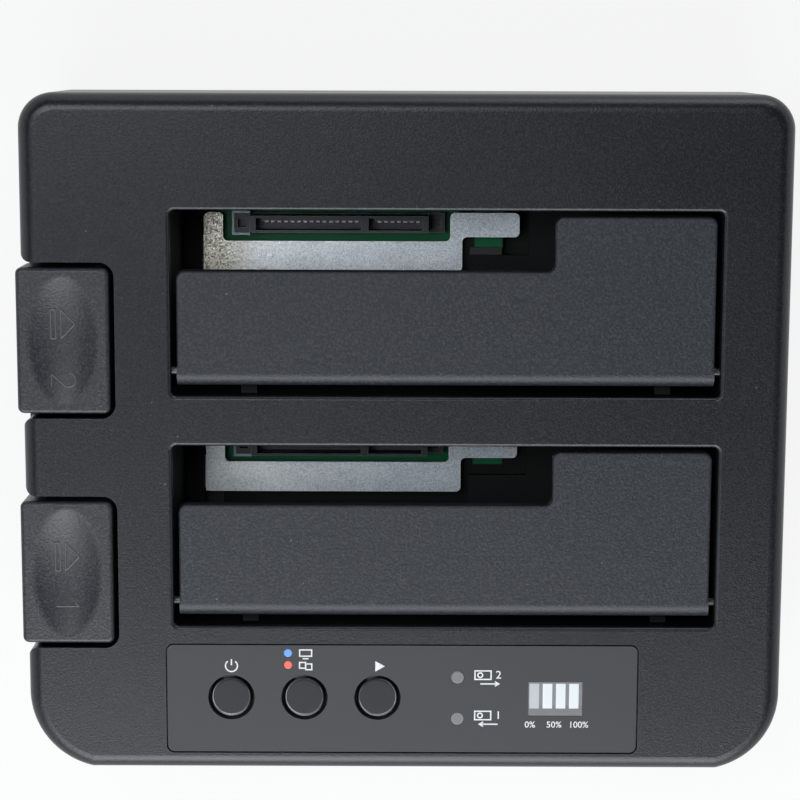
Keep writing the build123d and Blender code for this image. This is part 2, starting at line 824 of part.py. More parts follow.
def make_key(yc):
    y = key_centre_y(yc)
    bottom = key_bottom(yc)
    plan = Pos(key_x(), y) * fillet(Rectangle(key_width, key_length).vertices(), key_corner)
    key = under_face(prism(plan, bottom, 2 * mid_height), 0)
    top = key.faces().filter_by(lambda f: f.normal_at().Z > 0.9)[0]
    key = fillet(top.edges(), key_edge_round)
    inner = Pos(key_x(), y) * Rectangle(key_width - 2 * key_wall, key_length - 2 * key_wall)
    roof = key_wall + dimple_depth
    key -= under_face(prism(inner, bottom - past, 2 * mid_height), roof)
    # oval finger dimple, turned about a line above the key
    half = dimple_length / 2
    lift = (dimple_width ** 2 / 4 - dimple_depth ** 2) / (2 * dimple_depth)
    arc = ThreePointArc((-half, 0), (0, -dimple_depth), (half, 0))
    bowl = make_face(arc + Polyline((half, 0), (half, lift), (-half, lift), (-half, 0)))
    cutter = revolve(bowl, Axis((0, lift, 0), (1, 0, 0)), 360)
    key -= side_plane(key_x(), y) * cutter
    flats = key.faces().filter_by(GeomType.PLANE)
    top = flats.filter_by(lambda f: f.normal_at().Z > 0.9).sort_by(Axis.Z)[-1]
    key = fillet([edge for wire in top.inner_wires() for edge in wire.edges()], dimple_rim)
    # stem of crossed webs down to the lever
    foot = lever_arm_z(yc) + foot_gap
    ceiling = face_z(y) - dimple_depth - key_wall / 2
    key += block((key_x() - stem_width / 2, key_x() + stem_width / 2), (y - stem_web / 2, y + stem_web / 2),
                 (foot + foot_round, ceiling))
    key += block((key_x() - stem_web / 2, key_x() + stem_web / 2), (y - stem_depth / 2, y + stem_depth / 2),
                 (foot + foot_round, ceiling))
    arm_front = from_rear(yc, strip_front) + fit_gap
    arm_rear = arm_front + arm_width - 2 * fit_gap
    toe = block((key_x() - stem_web / 2, key_x() + stem_web / 2), (y - stem_depth / 2, arm_rear),
                (foot + foot_round, foot + 4 * foot_round))
    toe += rod_y(arm_front, arm_rear, key_x(), foot + foot_round, foot_round)
    return key + toe


def make_key_spring(yc):
    low = shelf_top(yc)
    high = face_z(key_centre_y(yc) - key_spring_radius) - key_wall - dimple_depth
    margin = key_spring_wire / 2 + 2 * fit_gap
    spring = coil(key_spring_radius, high - low - 2 * margin, key_spring_turns, key_spring_wire)
    return Pos(key_x(), key_centre_y(yc), low + margin) * spring


def lever_arm_z(yc):
    # top of the lever's arm at rest
    return face_z(yc) - pivot_below - arm_under_pivot


def make_lever(yc):
    plate_z = face_z(yc) - plate_below
    arm_z = lever_arm_z(yc)
    front, rear = from_rear(yc, strip_front), from_rear(yc, plate_rear)
    notch_y, right_y = from_rear(yc, notch_front), from_rear(yc, right_arm_front)
    plan = make_face(Polyline(
        (plate_left_x, front), (strip_right_x, front), (strip_right_x, right_y), (plate_right_x, right_y),
        (plate_right_x, rear), (notch_right_x, rear), (notch_right_x, notch_y), (notch_left_x, notch_y),
        (notch_left_x, rear), (plate_left_x, rear), close=True))
    plan = fillet(plan.vertices(), plate_corner)
    lever = prism(plan, plate_z - sheet, plate_z)
    # the sheet steps down at its left edge and runs on as an arm under the key
    inner_x, middle_z = plate_left_x + 3 * sheet, plate_z - sheet / 2
    arm_end_x = key_x() - arm_past_key
    drop = make_face(Plane.XZ * Polyline(
        (inner_x, plate_z - sheet), (plate_left_x + sheet, plate_z - sheet),
        (plate_left_x + sheet, arm_z - sheet), (arm_end_x, arm_z - sheet), (arm_end_x, arm_z),
        (plate_left_x, arm_z), (plate_left_x, middle_z), (inner_x, middle_z), close=True))
    lever += Pos(0, front, 0) * extrude(drop, arm_width, dir=(0, 1, 0))
    # ears turned up round the shaft
    pivot_z = face_z(yc) - pivot_below
    for y in (front, front + arm_width - sheet):
        lever += rod_y(y, y + sheet, pivot_x, pivot_z, ear_radius)
        lever += block((pivot_x - ear_radius, pivot_x + ear_radius), (y, y + sheet),
                       (arm_z - sheet / 2, pivot_z))
        lever -= rod_y(y - past, y + sheet + past, pivot_x, pivot_z, shaft_radius + shaft_clearance)
    return lever


def make_lever_shaft(yc):
    first, last = lug_places(yc)
    return rod_y(first, last + lug_thickness, pivot_x, face_z(yc) - pivot_below, shaft_radius)


# Drive sockets

def cavity_limits():
    # X limits of the power and the signal cavity, the power one on the left
    whole = power_cavity + cavity_web + signal_cavity
    left = socket_x - whole / 2
    return (left, left + power_cavity), (left + power_cavity + cavity_web, left + whole)


def make_socket(yc):
    y, board = from_rear(yc, socket_rear), face_z(yc) - board_below
    top = face_z(yc) - nose_below
    socket = block((socket_x - nose_width / 2, socket_x + nose_width / 2),
                   (y - nose_thickness / 2, y + nose_thickness / 2), (board, top))
    socket += block((socket_x - socket_width / 2, socket_x + socket_width / 2),
                    (y - nose_thickness / 2 - base_proud, y + nose_thickness / 2 + base_proud),
                    (board, board + socket_base_height))
    front = y - nose_thickness / 2 + nose_front_wall
    for left, right in cavity_limits():
        depth = (top - cavity_depth, top + past)
        socket -= block((left, right), (front, front + cavity_thickness), depth)
        socket -= block((left, left + key_leg), (front, y + nose_thickness / 2 - nose_front_wall), depth)
    for side, height in ((-1, guide_height), (1, right_guide_height)):
        outer = socket_x + side * socket_width / 2
        inner = outer - side * guide_width
        ear = block((min(outer, inner), max(outer, inner)), (y - guide_depth / 2, y + guide_depth / 2),
                    (board, board + height))
        ear -= Pos((outer + inner) / 2, y, board + height) * Box(
            guide_hole, guide_hole, 2 * guide_hole_depth)
        web = (inner, socket_x + side * (nose_width / 2 - past))
        socket += ear
        socket += block((min(web), max(web)), (y - guide_hole / 2, y + guide_hole / 2),
                        (board, board + height - past))
    return socket


def make_contacts(yc):
    y, top = from_rear(yc, socket_rear), face_z(yc) - nose_below
    rear = y - nose_thickness / 2 + nose_front_wall + cavity_thickness
    blades = []
    for (left, right), count in zip(cavity_limits(), (power_contacts, signal_contacts)):
        middle = (left + right + key_leg) / 2
        for i in range(count):
            x = middle + (i - (count - 1) / 2) * contact_pitch
            blades.append(block((x - contact_width / 2, x + contact_width / 2),
                                (rear - contact_thickness, rear), (top - cavity_depth, top - contact_sink)))
    return blades


def make_clip(yc):
    # tinned hold-down round the left ear of a socket
    y, board = from_rear(yc, socket_rear), face_z(yc) - board_below
    left = socket_x - socket_width / 2
    low, high = board, board + guide_height + clip_proud
    half = guide_depth / 2
    outer = half + clip_thickness
    clip = block((left - clip_thickness, left), (y - outer, y + outer), (low, high))
    for side in (-1, 1):
        edge = (y + side * half, y + side * outer)
        clip += block((left - clip_thickness, left + guide_width), (min(edge), max(edge)), (low, high))
    return clip


# Boards and what stands on them

def make_main_board():
    board = block((board_left_x, board_right_x), (board_front_y, board_rear_y),
                  (main_board_z - board_thickness, main_board_z))
    for x, y in board_screw_places():
        board -= rod_z(0, mid_height, x, y, small_screw_radius + screw_clearance)
    for x, y in riser_screw_places():
        board -= rod_z(0, mid_height, x, y, small_screw_radius + pilot_gap)
    return board


def make_riser():
    front, rear = from_rear(rear_bay_y, riser_front), from_rear(rear_bay_y, riser_rear)
    riser = block((riser_left_x, riser_right_x), (front, rear), (riser_z - board_thickness, riser_z))
    for x, y in riser_screw_places():
        riser -= rod_z(0, mid_height, x, y, small_screw_radius + screw_clearance)
    return riser


def header_limits():
    left = well_step_x
    rear = from_rear(rear_bay_y, well_step_front) + header_depth / 3
    return (left, left + header_length), (rear - header_depth, rear)


def make_header():
    x, y = header_limits()
    lower = block(x, y, (main_board_z, riser_z - board_thickness))
    upper = block(x, y, (riser_z, riser_z + header_height))
    return [lower, upper]


def make_standoffs():
    posts = []
    for x, y in riser_screw_places():
        post = rod_z(main_board_z, riser_z - board_thickness, x, y, standoff_radius)
        posts.append(post - rod_z(0, mid_height, x, y, small_screw_radius + pilot_gap))
    return posts


def make_board_screws():
    screws = [
        screw(Pos(x, y, main_board_z), small_screw_radius, board_screw_length, small_screw_head)
        for x, y in board_screw_places()
    ]
    screws += [
        screw(Pos(x, y, riser_z), small_screw_radius, riser_z - main_board_z + past, board_screw_head)
        for x, y in riser_screw_places()
    ]
    return screws


def make_chips():
    bodies = []
    for x, y, size, height in chips:
        chip = Pos(board_x + x, board_rear_y - y, main_board_z) * Box(size, size, height, align=LOW)
        bodies.append(chamfer(chip.edges().group_by(Axis.Z)[-1], height / 4))
    return bodies


def make_capacitors():
    bodies = []
    for x, y, radius, height in cans:
        can = rod_z(main_board_z, main_board_z + height, board_x + x, board_rear_y - y, radius)
        bodies.append(fillet(can.edges().group_by(Axis.Z)[-1], radius / 5))
    return bodies


# Rear ports

def port_box(x, width, height, depth):
    rear = rear_y - port_recess
    return block((x - width / 2, x + width / 2), (rear - depth, rear), (main_board_z, main_board_z + height))


def make_usb_shell():
    rear = rear_y - port_recess
    shell = port_box(usb_x, usb_width, usb_height, usb_depth)
    half = usb_width / 2 - usb_shell
    low, high = main_board_z + usb_shell, main_board_z + usb_height - usb_shell
    plan = make_face(Plane.XZ * Polyline(
        (usb_x - half, low), (usb_x + half, low), (usb_x + half, high - usb_chamfer),
        (usb_x + half - usb_chamfer, high), (usb_x - half + usb_chamfer, high),
        (usb_x - half, high - usb_chamfer), close=True))
    return shell - Pos(0, rear + past, 0) * extrude(plan, usb_depth + past - 4 * usb_shell, dir=(0, -1, 0))


def make_usb_tongue():
    rear = rear_y - port_recess
    low = main_board_z + usb_tongue_rise
    return block((usb_x - usb_tongue_width / 2, usb_x + usb_tongue_width / 2),
                 (rear - usb_depth + 4 * usb_shell, rear - past), (low, low + usb_tongue_height))


def make_esata():
    rear = rear_y - port_recess
    port = port_box(esata_x, esata_width, esata_height, esata_depth)
    mid = main_board_z + esata_height / 2
    half, rise = esata_width / 2 - esata_rim, esata_height / 2 - esata_rim
    port -= block((esata_x - half, esata_x + half), (rear - esata_hole_depth, rear + past),
                  (mid - rise, mid + rise))
    port += block((esata_x - esata_blade_width / 2, esata_x + esata_blade_width / 2),
                  (rear - esata_hole_depth - past, rear - past),
                  (mid - esata_blade / 2, mid + esata_blade / 2))
    return port


def make_jack():
    rear = rear_y - port_recess
    jack = port_box(jack_x, jack_width, jack_height, jack_depth)
    jack = fillet(jack.edges().filter_by(Axis.Y).group_by(Axis.Z)[-1], jack_round)
    z = main_board_z + jack_height / 2 + jack_rise
    return jack - rod_y(rear - jack_bore_depth, rear + past, jack_x, z, jack_bore)


def make_jack_pin():
    rear = rear_y - port_recess
    z = main_board_z + jack_height / 2 + jack_rise
    return rod_y(rear - jack_bore_depth, rear - past, jack_x, z, jack_pin)


# Control panel, worked out flat in the plane of the slope

def button_places():
    for i in range(3):
        yield button_x + i * button_pitch


def light_places():
    for y in (panel_length / 2 - light_rear, light_front - panel_length / 2):
        yield light_x, y, light_radius


def mode_light_places():
    for inset in mode_light_insets:
        yield mode_light_x, panel_length / 2 - inset, mode_light_radius


def window_centre():
    return window_left + window_width / 2, window_y


def make_panel():
    plan = Rectangle(panel_width - 2 * skin_gap, panel_length - 2 * skin_gap)
    plan = fillet(plan.vertices(), panel_corner - skin_gap)
    panel = extrude(plan, -panel_thickness)
    deep = panel_thickness + 2 * past
    for x in button_places():
        hole = Cylinder(button_hole_radius, deep, align=HIGH)
        panel -= panel_place(x, button_along) * Pos(0, 0, past) * hole
    for x, y, radius in [*light_places(), *mode_light_places()]:
        panel -= panel_place(x, y) * Pos(0, 0, past) * Cylinder(radius + lens_gap, deep, align=HIGH)
    window = Box(window_width + 2 * lens_gap, window_length + 2 * lens_gap, deep, align=HIGH)
    panel -= panel_place(*window_centre()) * Pos(0, 0, past) * window
    return panel_plane() * panel


def make_button(x):
    under = panel_thickness + fit_gap
    cap = Pos(0, 0, -under) * Cylinder(button_radius, under + button_proud, align=LOW)
    cap = fillet(cap.edges().group_by(Axis.Z)[-1], button_edge)
    flange = Pos(0, 0, -under - button_flange) * Cylinder(button_flange_radius, button_flange, align=LOW)
    stem_end = control_board_below - switch_height + switch_bore
    stem = Pos(0, 0, -stem_end) * Cylinder(button_stem_radius, stem_end - under, align=LOW)
    return panel_plane() * panel_place(x, button_along) * (cap + flange + stem)


def make_lens(x, y, radius, flange):
    lens = Cylinder(radius, panel_thickness + fit_gap, align=HIGH)
    lens = fillet(lens.edges().group_by(Axis.Z)[-1], lens_edge)
    lens += Pos(0, 0, -panel_thickness - fit_gap) * Cylinder(radius + flange, lens_foot, align=HIGH)
    return panel_plane() * panel_place(x, y) * lens


def make_display():
    depth = panel_thickness + window_tail
    display = Pos(0, 0, -window_sink) * Box(window_width, window_length, depth, align=HIGH)
    display = panel_place(*window_centre()) * display
    for x in bar_places():
        display -= panel_place(x, bar_y()) * Box(bar_width, bar_length, bar_depth + window_sink, align=HIGH)
    return panel_plane() * display


def bar_places():
    for i in range(bar_count):
        yield window_left + bar_inset + bar_width / 2 + i * bar_pitch


def bar_y():
    return window_y + window_length / 2 - bar_top_inset - bar_length / 2


def make_bars():
    bar = Box(bar_width, bar_length, bar_depth, align=HIGH)
    return [panel_plane(window_sink) * panel_place(x, bar_y()) * bar for x in bar_places()]


def make_control_board():
    board = Box(control_board_width, control_board_length, control_board_thickness, align=HIGH)
    for x, y in control_screw_places():
        board -= Pos(x, y, 0) * Cylinder(small_screw_radius + screw_clearance, 3 * control_board_thickness)
    return panel_plane(control_board_below) * board


def make_switches():
    switches = []
    for x in button_places():
        body = Box(switch_size, switch_size, switch_height, align=LOW)
        depth = switch_bore + button_travel + fit_gap
        body -= Pos(0, 0, switch_height) * Cylinder(button_stem_radius + switch_clearance, 2 * depth)
        switches.append(panel_plane(control_board_below) * panel_place(x, button_along) * body)
    return switches


def make_lamps():
    lamps = []
    for x, y, radius in [*light_places(), *mode_light_places()]:
        lamp = panel_place(x, y) * Box(lamp_size, lamp_size, lamp_height, align=LOW)
        lamps.append(panel_plane(control_board_below) * lamp)
    return lamps


def make_control_screws():
    plane = panel_plane(control_board_below + control_board_thickness)
    return [
        screw(plane * Pos(x, y, 0), small_screw_radius, board_screw_length, small_screw_head, False)
        for x, y in control_screw_places()
    ]


# Ribbon

def make_ribbon_sockets():
    width = ribbon_width + 2 * ribbon_socket_margin
    low = Pos(ribbon_x, ribbon_low_y, main_board_z) * Box(
        width, ribbon_socket_depth, ribbon_socket_height, align=LOW)
    plane = face_plane(panel_y, control_board_below + control_board_thickness)
    high = plane * Pos(ribbon_x, 0, 0) * Box(width, ribbon_socket_depth, ribbon_socket_height, align=HIGH)
    return [low, high]


def make_ribbon():
    plane = face_plane(panel_y, control_board_below + control_board_thickness + ribbon_socket_height)
    start = plane.origin
    low = main_board_z + ribbon_socket_height
    middle = (start.Z + low) / 2
    path = FilletPolyline(
        (ribbon_x, start.Y, start.Z - fit_gap), (ribbon_x, start.Y, middle),
        (ribbon_x, ribbon_low_y, middle - ribbon_bend), (ribbon_x, ribbon_low_y, low), radius=ribbon_bend)
    section = Plane(origin=path @ 0, x_dir=(1, 0, 0), z_dir=path % 0) * Rectangle(
        ribbon_width, ribbon_thickness)
    return sweep(section, path=path)


# Write every node

bays = (rear_bay_y - bay_pitch, rear_bay_y)


def write(name, solids):
    shape = Compound(children=list(solids)) if isinstance(solids, list) else solids
    export_step(shape, f"parts/{name}.step")


write("top_cover", make_cover())
write("bottom_case", make_case())
write("rubber_feet", make_feet())
write("case_screws", make_case_screws())
write("bay_screws", make_bay_screws())
for number, bay_y in enumerate(bays, 1):
    write(f"drive_bay_{number}", make_bay(bay_y))
    write(f"flap_{number}", make_flap(bay_y))
    write(f"flap_pin_{number}", make_flap_pin(bay_y))
    write(f"flap_spring_{number}", make_flap_spring(bay_y))
    write(f"eject_key_{number}", make_key(bay_y))
    write(f"key_spring_{number}", make_key_spring(bay_y))
    write(f"eject_lever_{number}", make_lever(bay_y))
    write(f"lever_shaft_{number}", make_lever_shaft(bay_y))
    write(f"drive_socket_{number}", make_socket(bay_y))
    write(f"socket_contacts_{number}", make_contacts(bay_y))
    write(f"socket_clip_{number}", make_clip(bay_y))
write("main_board", make_main_board())
write("riser_board", make_riser())
write("board_header", make_header())
write("riser_standoffs", make_standoffs())
write("board_screws", make_board_screws())
write("controller_chips", make_chips())
write("capacitors", make_capacitors())
write("usb_shell", make_usb_shell())
write("usb_tongue", make_usb_tongue())
write("esata_port", make_esata())
write("power_jack", make_jack())
write("jack_pin", make_jack_pin())
write("control_panel", make_panel())
for button, x in zip(("power_button", "mode_button", "start_button"), button_places()):
    write(button, make_button(x))
for number, place in enumerate(reversed(list(light_places())), 1):
    write(f"drive_light_{number}", make_lens(*place, light_flange))
write("mode_lights", [make_lens(*place, 0) for place in mode_light_places()])
write("progress_display", make_display())
write("progress_bars", make_bars())
write("control_board", make_control_board())
write("push_switches", make_switches())
write("panel_lamps", make_lamps())
write("control_screws", make_control_screws())
write("ribbon_sockets", make_ribbon_sockets())
write("control_ribbon", make_ribbon())
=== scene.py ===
import json
import math

import bmesh
import bpy
from mathutils import Matrix, Vector
from mathutils.bvhtree import BVHTree


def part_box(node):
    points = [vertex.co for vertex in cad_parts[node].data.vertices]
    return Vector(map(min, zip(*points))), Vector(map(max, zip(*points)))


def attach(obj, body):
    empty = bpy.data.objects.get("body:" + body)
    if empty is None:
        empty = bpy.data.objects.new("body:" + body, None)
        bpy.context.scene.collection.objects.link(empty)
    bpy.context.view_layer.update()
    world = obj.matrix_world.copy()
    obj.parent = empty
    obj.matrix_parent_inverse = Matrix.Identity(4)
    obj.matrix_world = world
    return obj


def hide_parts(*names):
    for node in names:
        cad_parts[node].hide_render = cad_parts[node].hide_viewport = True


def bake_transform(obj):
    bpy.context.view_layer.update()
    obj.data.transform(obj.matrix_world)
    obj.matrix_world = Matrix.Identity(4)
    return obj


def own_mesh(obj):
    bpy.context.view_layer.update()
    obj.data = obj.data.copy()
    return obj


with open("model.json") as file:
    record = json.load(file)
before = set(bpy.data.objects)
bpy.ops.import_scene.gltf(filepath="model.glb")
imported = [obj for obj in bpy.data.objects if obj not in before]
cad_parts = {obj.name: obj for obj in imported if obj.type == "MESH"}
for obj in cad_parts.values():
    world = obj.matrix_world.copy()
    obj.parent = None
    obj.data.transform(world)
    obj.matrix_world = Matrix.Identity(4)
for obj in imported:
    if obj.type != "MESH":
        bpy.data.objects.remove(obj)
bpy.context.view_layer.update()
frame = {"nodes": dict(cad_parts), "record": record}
nodes = frame["nodes"]
mm = 0.001
slope = math.radians(7.4)            # the top face falls towards the front
print("frame loaded,", len(nodes), "nodes")

photoView = {
    "place": (-0.6 * mm, 73.34 * mm, 695.56 * mm),
    "tiltDegrees": 5.9,              # off the vertical, towards the rear
    "rollDegrees": 0.2,
    "focalPixels": 3384.0,
    "framePixels": 800.0,
    "sensor": 36.0,
    "clipStart": 0.01,
}


def makeCamera(view):
    data = bpy.data.cameras.new("photoCamera")
    data.sensor_width = view["sensor"]
    data.lens = view["focalPixels"] / view["framePixels"] * view["sensor"]
    data.clip_start = view["clipStart"]
    camera = bpy.data.objects.new("photoCamera", data)
    camera.matrix_world = (
        Matrix.Translation(view["place"])
        @ Matrix.Rotation(-math.radians(view["tiltDegrees"]), 4, "X")
        @ Matrix.Rotation(math.radians(view["rollDegrees"]), 4, "Z")
    )
    bpy.context.scene.collection.objects.link(camera)
    bpy.context.scene.camera = camera


makeCamera(photoView)
print("camera set")

studio = {
    "sky": (0.95, 0.975, 1, 1),
    "skyStrength": 0.04,
    "paper": (0.86, 0.86, 0.855, 1),
    "paperLift": 0.86,               # how much of the paper's white is the backdrop's own
    "paperProfile": [(1.6, 0.0), (2.2, 0.08), (2.7, 0.36), (3.0, 0.85), (3.1, 1.6)],  # radius and height
    "lamps": [
        # name, place, width, height, power
        ("frontBox", (0.02, -0.42, 0.32), 0.4, 0.3, 2.0),
        ("frontLeftBox", (-0.20, -0.45, 0.50), 0.45, 0.35, 1.3),
        ("overheadBox", (-0.17, 0.12, 0.74), 0.3, 0.3, 1.75),
        ("rearFill", (0.25, 0.75, 0.35), 0.5, 0.4, 1.6),
    ],
    "aim": (0.0, 0.0, 0.04),
    "lampColor": (0.93, 0.965, 1.0),
}


def makeWorld(look):
    world = bpy.data.worlds.new("studio")
    bpy.context.scene.world = world
    world.use_nodes = True
    sky = world.node_tree.nodes["Background"]
    sky.inputs["Color"].default_value = look["sky"]
    sky.inputs["Strength"].default_value = look["skyStrength"]


def makeLamp(name, place, width, height, power):
    data = bpy.data.lights.new(name, "AREA")
    data.shape = "RECTANGLE"
    data.size = width
    data.size_y = height
    data.energy = power
    data.color = studio["lampColor"]
    lamp = bpy.data.objects.new(name, data)
    lamp.location = place
    aim = Vector(studio["aim"]) - Vector(place)
    lamp.rotation_euler = aim.to_track_quat("-Z", "Y").to_euler()
    bpy.context.scene.collection.objects.link(lamp)


def paperMaterial(look):
    # the backdrop's own white shows to the camera and in what reflects it, and never lights the object
    material = bpy.data.materials.new("floorPaper")
    material.use_nodes = True
    tree = material.node_tree
    tree.nodes.clear()
    paper = tree.nodes.new("ShaderNodeBsdfDiffuse")
    paper.inputs["Color"].default_value = look["paper"]
    glow = tree.nodes.new("ShaderNodeEmission")
    rays = tree.nodes.new("ShaderNodeLightPath")
    seen = rays.outputs["Is Camera Ray"]
    for label in ("Is Glossy Ray", "Is Transmission Ray"):
        either = tree.nodes.new("ShaderNodeMath")
        either.operation = "MAXIMUM"
        tree.links.new(seen, either.inputs[0])
        tree.links.new(rays.outputs[label], either.inputs[1])
        seen = either.outputs[0]
    lift = tree.nodes.new("ShaderNodeMath")
    lift.operation = "MULTIPLY"
    lift.inputs[1].default_value = look["paperLift"]
    mix = tree.nodes.new("ShaderNodeMixShader")
    out = tree.nodes.new("ShaderNodeOutputMaterial")
    tree.links.new(seen, lift.inputs[0])
    tree.links.new(lift.outputs[0], mix.inputs["Fac"])
    tree.links.new(paper.outputs[0], mix.inputs[1])
    tree.links.new(glow.outputs[0], mix.inputs[2])
    tree.links.new(mix.outputs[0], out.inputs["Surface"])
    return material


def makeFloor(look, around=48):
    # a sheet of paper that turns up all round, so there is no horizon
    shape = bmesh.new()
    middle = shape.verts.new((0, 0, 0))
    rings = []
    for radius, height in look["paperProfile"]:
        turns = [2 * math.pi * step / around for step in range(around)]
        rings.append([shape.verts.new((radius * math.cos(a), radius * math.sin(a), height)) for a in turns])
    for step in range(around):
        after = (step + 1) % around
        shape.faces.new((middle, rings[0][step], rings[0][after]))
        for inner, outer in zip(rings, rings[1:]):
            shape.faces.new((inner[step], outer[step], outer[after], inner[after]))
    for face in shape.faces:
        face.smooth = True
    mesh = bpy.data.meshes.new("floor")
    shape.to_mesh(mesh)
    shape.free()
    mesh.materials.append(paperMaterial(look))
    floor = bpy.data.objects.new("floor", mesh)
    bpy.context.scene.collection.objects.link(floor)


makeWorld(studio)
makeFloor(studio)
for lampSpec in studio["lamps"]:
    makeLamp(*lampSpec)
bpy.context.scene.view_settings.view_transform = "Standard"
print("studio set")


# helpers that add nodes, then the effects that the materials share

def newGroup(name, inputs, outputs):
    group = bpy.data.node_groups.new(name, "ShaderNodeTree")
    for label, value in inputs.items():
        socket = group.interface.new_socket(label, in_out="INPUT", socket_type="NodeSocketFloat")
        socket.default_value = value
    for label, kind in outputs.items():
        group.interface.new_socket(label, in_out="OUTPUT", socket_type=kind)
    return group, group.nodes.new("NodeGroupInput"), group.nodes.new("NodeGroupOutput")


def addMath(tree, operation, first, second=0.0, clamp=False):
    node = tree.nodes.new("ShaderNodeMath")
    node.operation = operation
    node.use_clamp = clamp
    for socket, value in zip(node.inputs, (first, second)):
        if isinstance(value, (int, float)):
            socket.default_value = value
        else:
            tree.links.new(value, socket)
    return node.outputs[0]


def addNoise(tree, vector, scale, detail=2.0, roughness=0.5):
    node = tree.nodes.new("ShaderNodeTexNoise")
    node.inputs["Detail"].default_value = detail
    node.inputs["Roughness"].default_value = roughness
    tree.links.new(vector, node.inputs["Vector"])
    if isinstance(scale, (int, float)):
        node.inputs["Scale"].default_value = scale
    else:
        tree.links.new(scale, node.inputs["Scale"])
    return node.outputs["Fac"]


def addRange(tree, value, fromLow, fromHigh, toLow, toHigh):
    node = tree.nodes.new("ShaderNodeMapRange")
    tree.links.new(value, node.inputs["Value"])
    for label, number in (("From Min", fromLow), ("From Max", fromHigh), ("To Min", toLow), ("To Max", toHigh)):
        if isinstance(number, (int, float)):
            node.inputs[label].default_value = number
        else:
            tree.links.new(number, node.inputs[label])
    return node.outputs["Result"]


def objectPlace(tree):
    return tree.nodes.new("ShaderNodeTexCoord").outputs["Object"]


grainEffect = {
    "pebbleDepth": 0.6,
    "fineScale": 0.6,                # of the fine noise, as a share of the pebble's
    "fineNoise": (3.0, 0.6),         # detail and roughness, in each of the noises below too
    "fineSheen": 0.12,
    "gritSpan": (0.44, 0.68),
    "slowScale": 28.0,
    "slowNoise": (3.0, 0.55),
}
edgeEffect = {
    "samples": 6,
    "turnSpan": (0.995, 0.85),       # cosine between the rounded and the true normal, from flat to edge
    "breakScale": 900.0,
    "breakNoise": (4.0, 0.6),
    "breakSpan": (0.35, 0.65),
}
dustEffect = {"cellScale": 420.0, "speckSpan": (0.05, 0.09)}


def makeMouldGrain(effect):
    # the fine pebble of spark-eroded mouldings, with a slow change of sheen over it
    group, source, sink = newGroup(
        "mouldGrain", {"Grain Scale": 2400.0, "Sheen": 0.45, "Sheen Spread": 0.06},
        {"Height": "NodeSocketFloat", "Roughness": "NodeSocketFloat", "Shade": "NodeSocketFloat",
         "Grit": "NodeSocketFloat"})
    place = objectPlace(group)
    pebble = group.nodes.new("ShaderNodeTexVoronoi")
    pebble.feature = "SMOOTH_F1"
    group.links.new(place, pebble.inputs["Vector"])
    group.links.new(source.outputs["Grain Scale"], pebble.inputs["Scale"])
    fineScale = addMath(group, "MULTIPLY", source.outputs["Grain Scale"], effect["fineScale"])
    fine = addNoise(group, place, fineScale, *effect["fineNoise"])
    height = addMath(group, "ADD", addMath(group, "MULTIPLY", pebble.outputs["Distance"], effect["pebbleDepth"]), fine)
    slow = addNoise(group, place, effect["slowScale"], *effect["slowNoise"])
    spread = addMath(group, "MULTIPLY", addMath(group, "SUBTRACT", slow, 0.5), source.outputs["Sheen Spread"])
    fineSpread = addMath(group, "MULTIPLY", addMath(group, "SUBTRACT", fine, 0.5), effect["fineSheen"])
    roughness = addMath(group, "ADD", addMath(group, "ADD", source.outputs["Sheen"], spread), fineSpread)
    group.links.new(height, sink.inputs["Height"])
    group.links.new(roughness, sink.inputs["Roughness"])
    group.links.new(slow, sink.inputs["Shade"])
    group.links.new(addRange(group, fine, *effect["gritSpan"], 0.0, 1.0), sink.inputs["Grit"])
    return group


def makeEdgeWearAndHighlight(effect):
    # finds the rounded edges and paints them lighter: partly the wear of edges that polish first, partly a painted
    # highlight where they catch the light
    group, source, sink = newGroup(
        "edgeWearAndHighlight", {"Radius": 0.4 * mm, "Breakup": 0.5}, {"Mask": "NodeSocketFloat"})
    bevel = group.nodes.new("ShaderNodeBevel")
    bevel.samples = effect["samples"]
    group.links.new(source.outputs["Radius"], bevel.inputs["Radius"])
    geometry = group.nodes.new("ShaderNodeNewGeometry")
    dot = group.nodes.new("ShaderNodeVectorMath")
    dot.operation = "DOT_PRODUCT"
    group.links.new(bevel.outputs["Normal"], dot.inputs[0])
    group.links.new(geometry.outputs["Normal"], dot.inputs[1])
    edge = addRange(group, dot.outputs["Value"], *effect["turnSpan"], 0.0, 1.0)
    broken = addNoise(group, objectPlace(group), effect["breakScale"], *effect["breakNoise"])
    least = addMath(group, "SUBTRACT", 1.0, source.outputs["Breakup"])
    keep = addRange(group, broken, *effect["breakSpan"], least, 1.0)
    group.links.new(addMath(group, "MULTIPLY", edge, keep, clamp=True), sink.inputs["Mask"])
    return group


def makeDustFlecks(effect):
    # a few pale specks that settle on dark plastic
    group, source, sink = newGroup("dustFlecks", {"Amount": 0.2}, {"Mask": "NodeSocketFloat"})
    cells = group.nodes.new("ShaderNodeTexVoronoi")
    cells.feature = "F1"
    cells.inputs["Scale"].default_value = effect["cellScale"]
    group.links.new(objectPlace(group), cells.inputs["Vector"])
    speck = addRange(group, cells.outputs["Distance"], *effect["speckSpan"], 1.0, 0.0)
    pick = group.nodes.new("ShaderNodeSeparateColor")
    group.links.new(cells.outputs["Color"], pick.inputs["Color"])
    chosen = addMath(group, "LESS_THAN", pick.outputs["Red"], source.outputs["Amount"])
    group.links.new(addMath(group, "MULTIPLY", speck, chosen), sink.inputs["Mask"])
    return group


mouldGrain = makeMouldGrain(grainEffect)
edgeWearAndHighlight = makeEdgeWearAndHighlight(edgeEffect)
dustFlecks = makeDustFlecks(dustEffect)
print("shared effects made")


def useGroup(tree, group, **values):
    node = tree.nodes.new("ShaderNodeGroup")
    node.node_tree = group
    for label, value in values.items():
        node.inputs[label].default_value = value
    return node.outputs


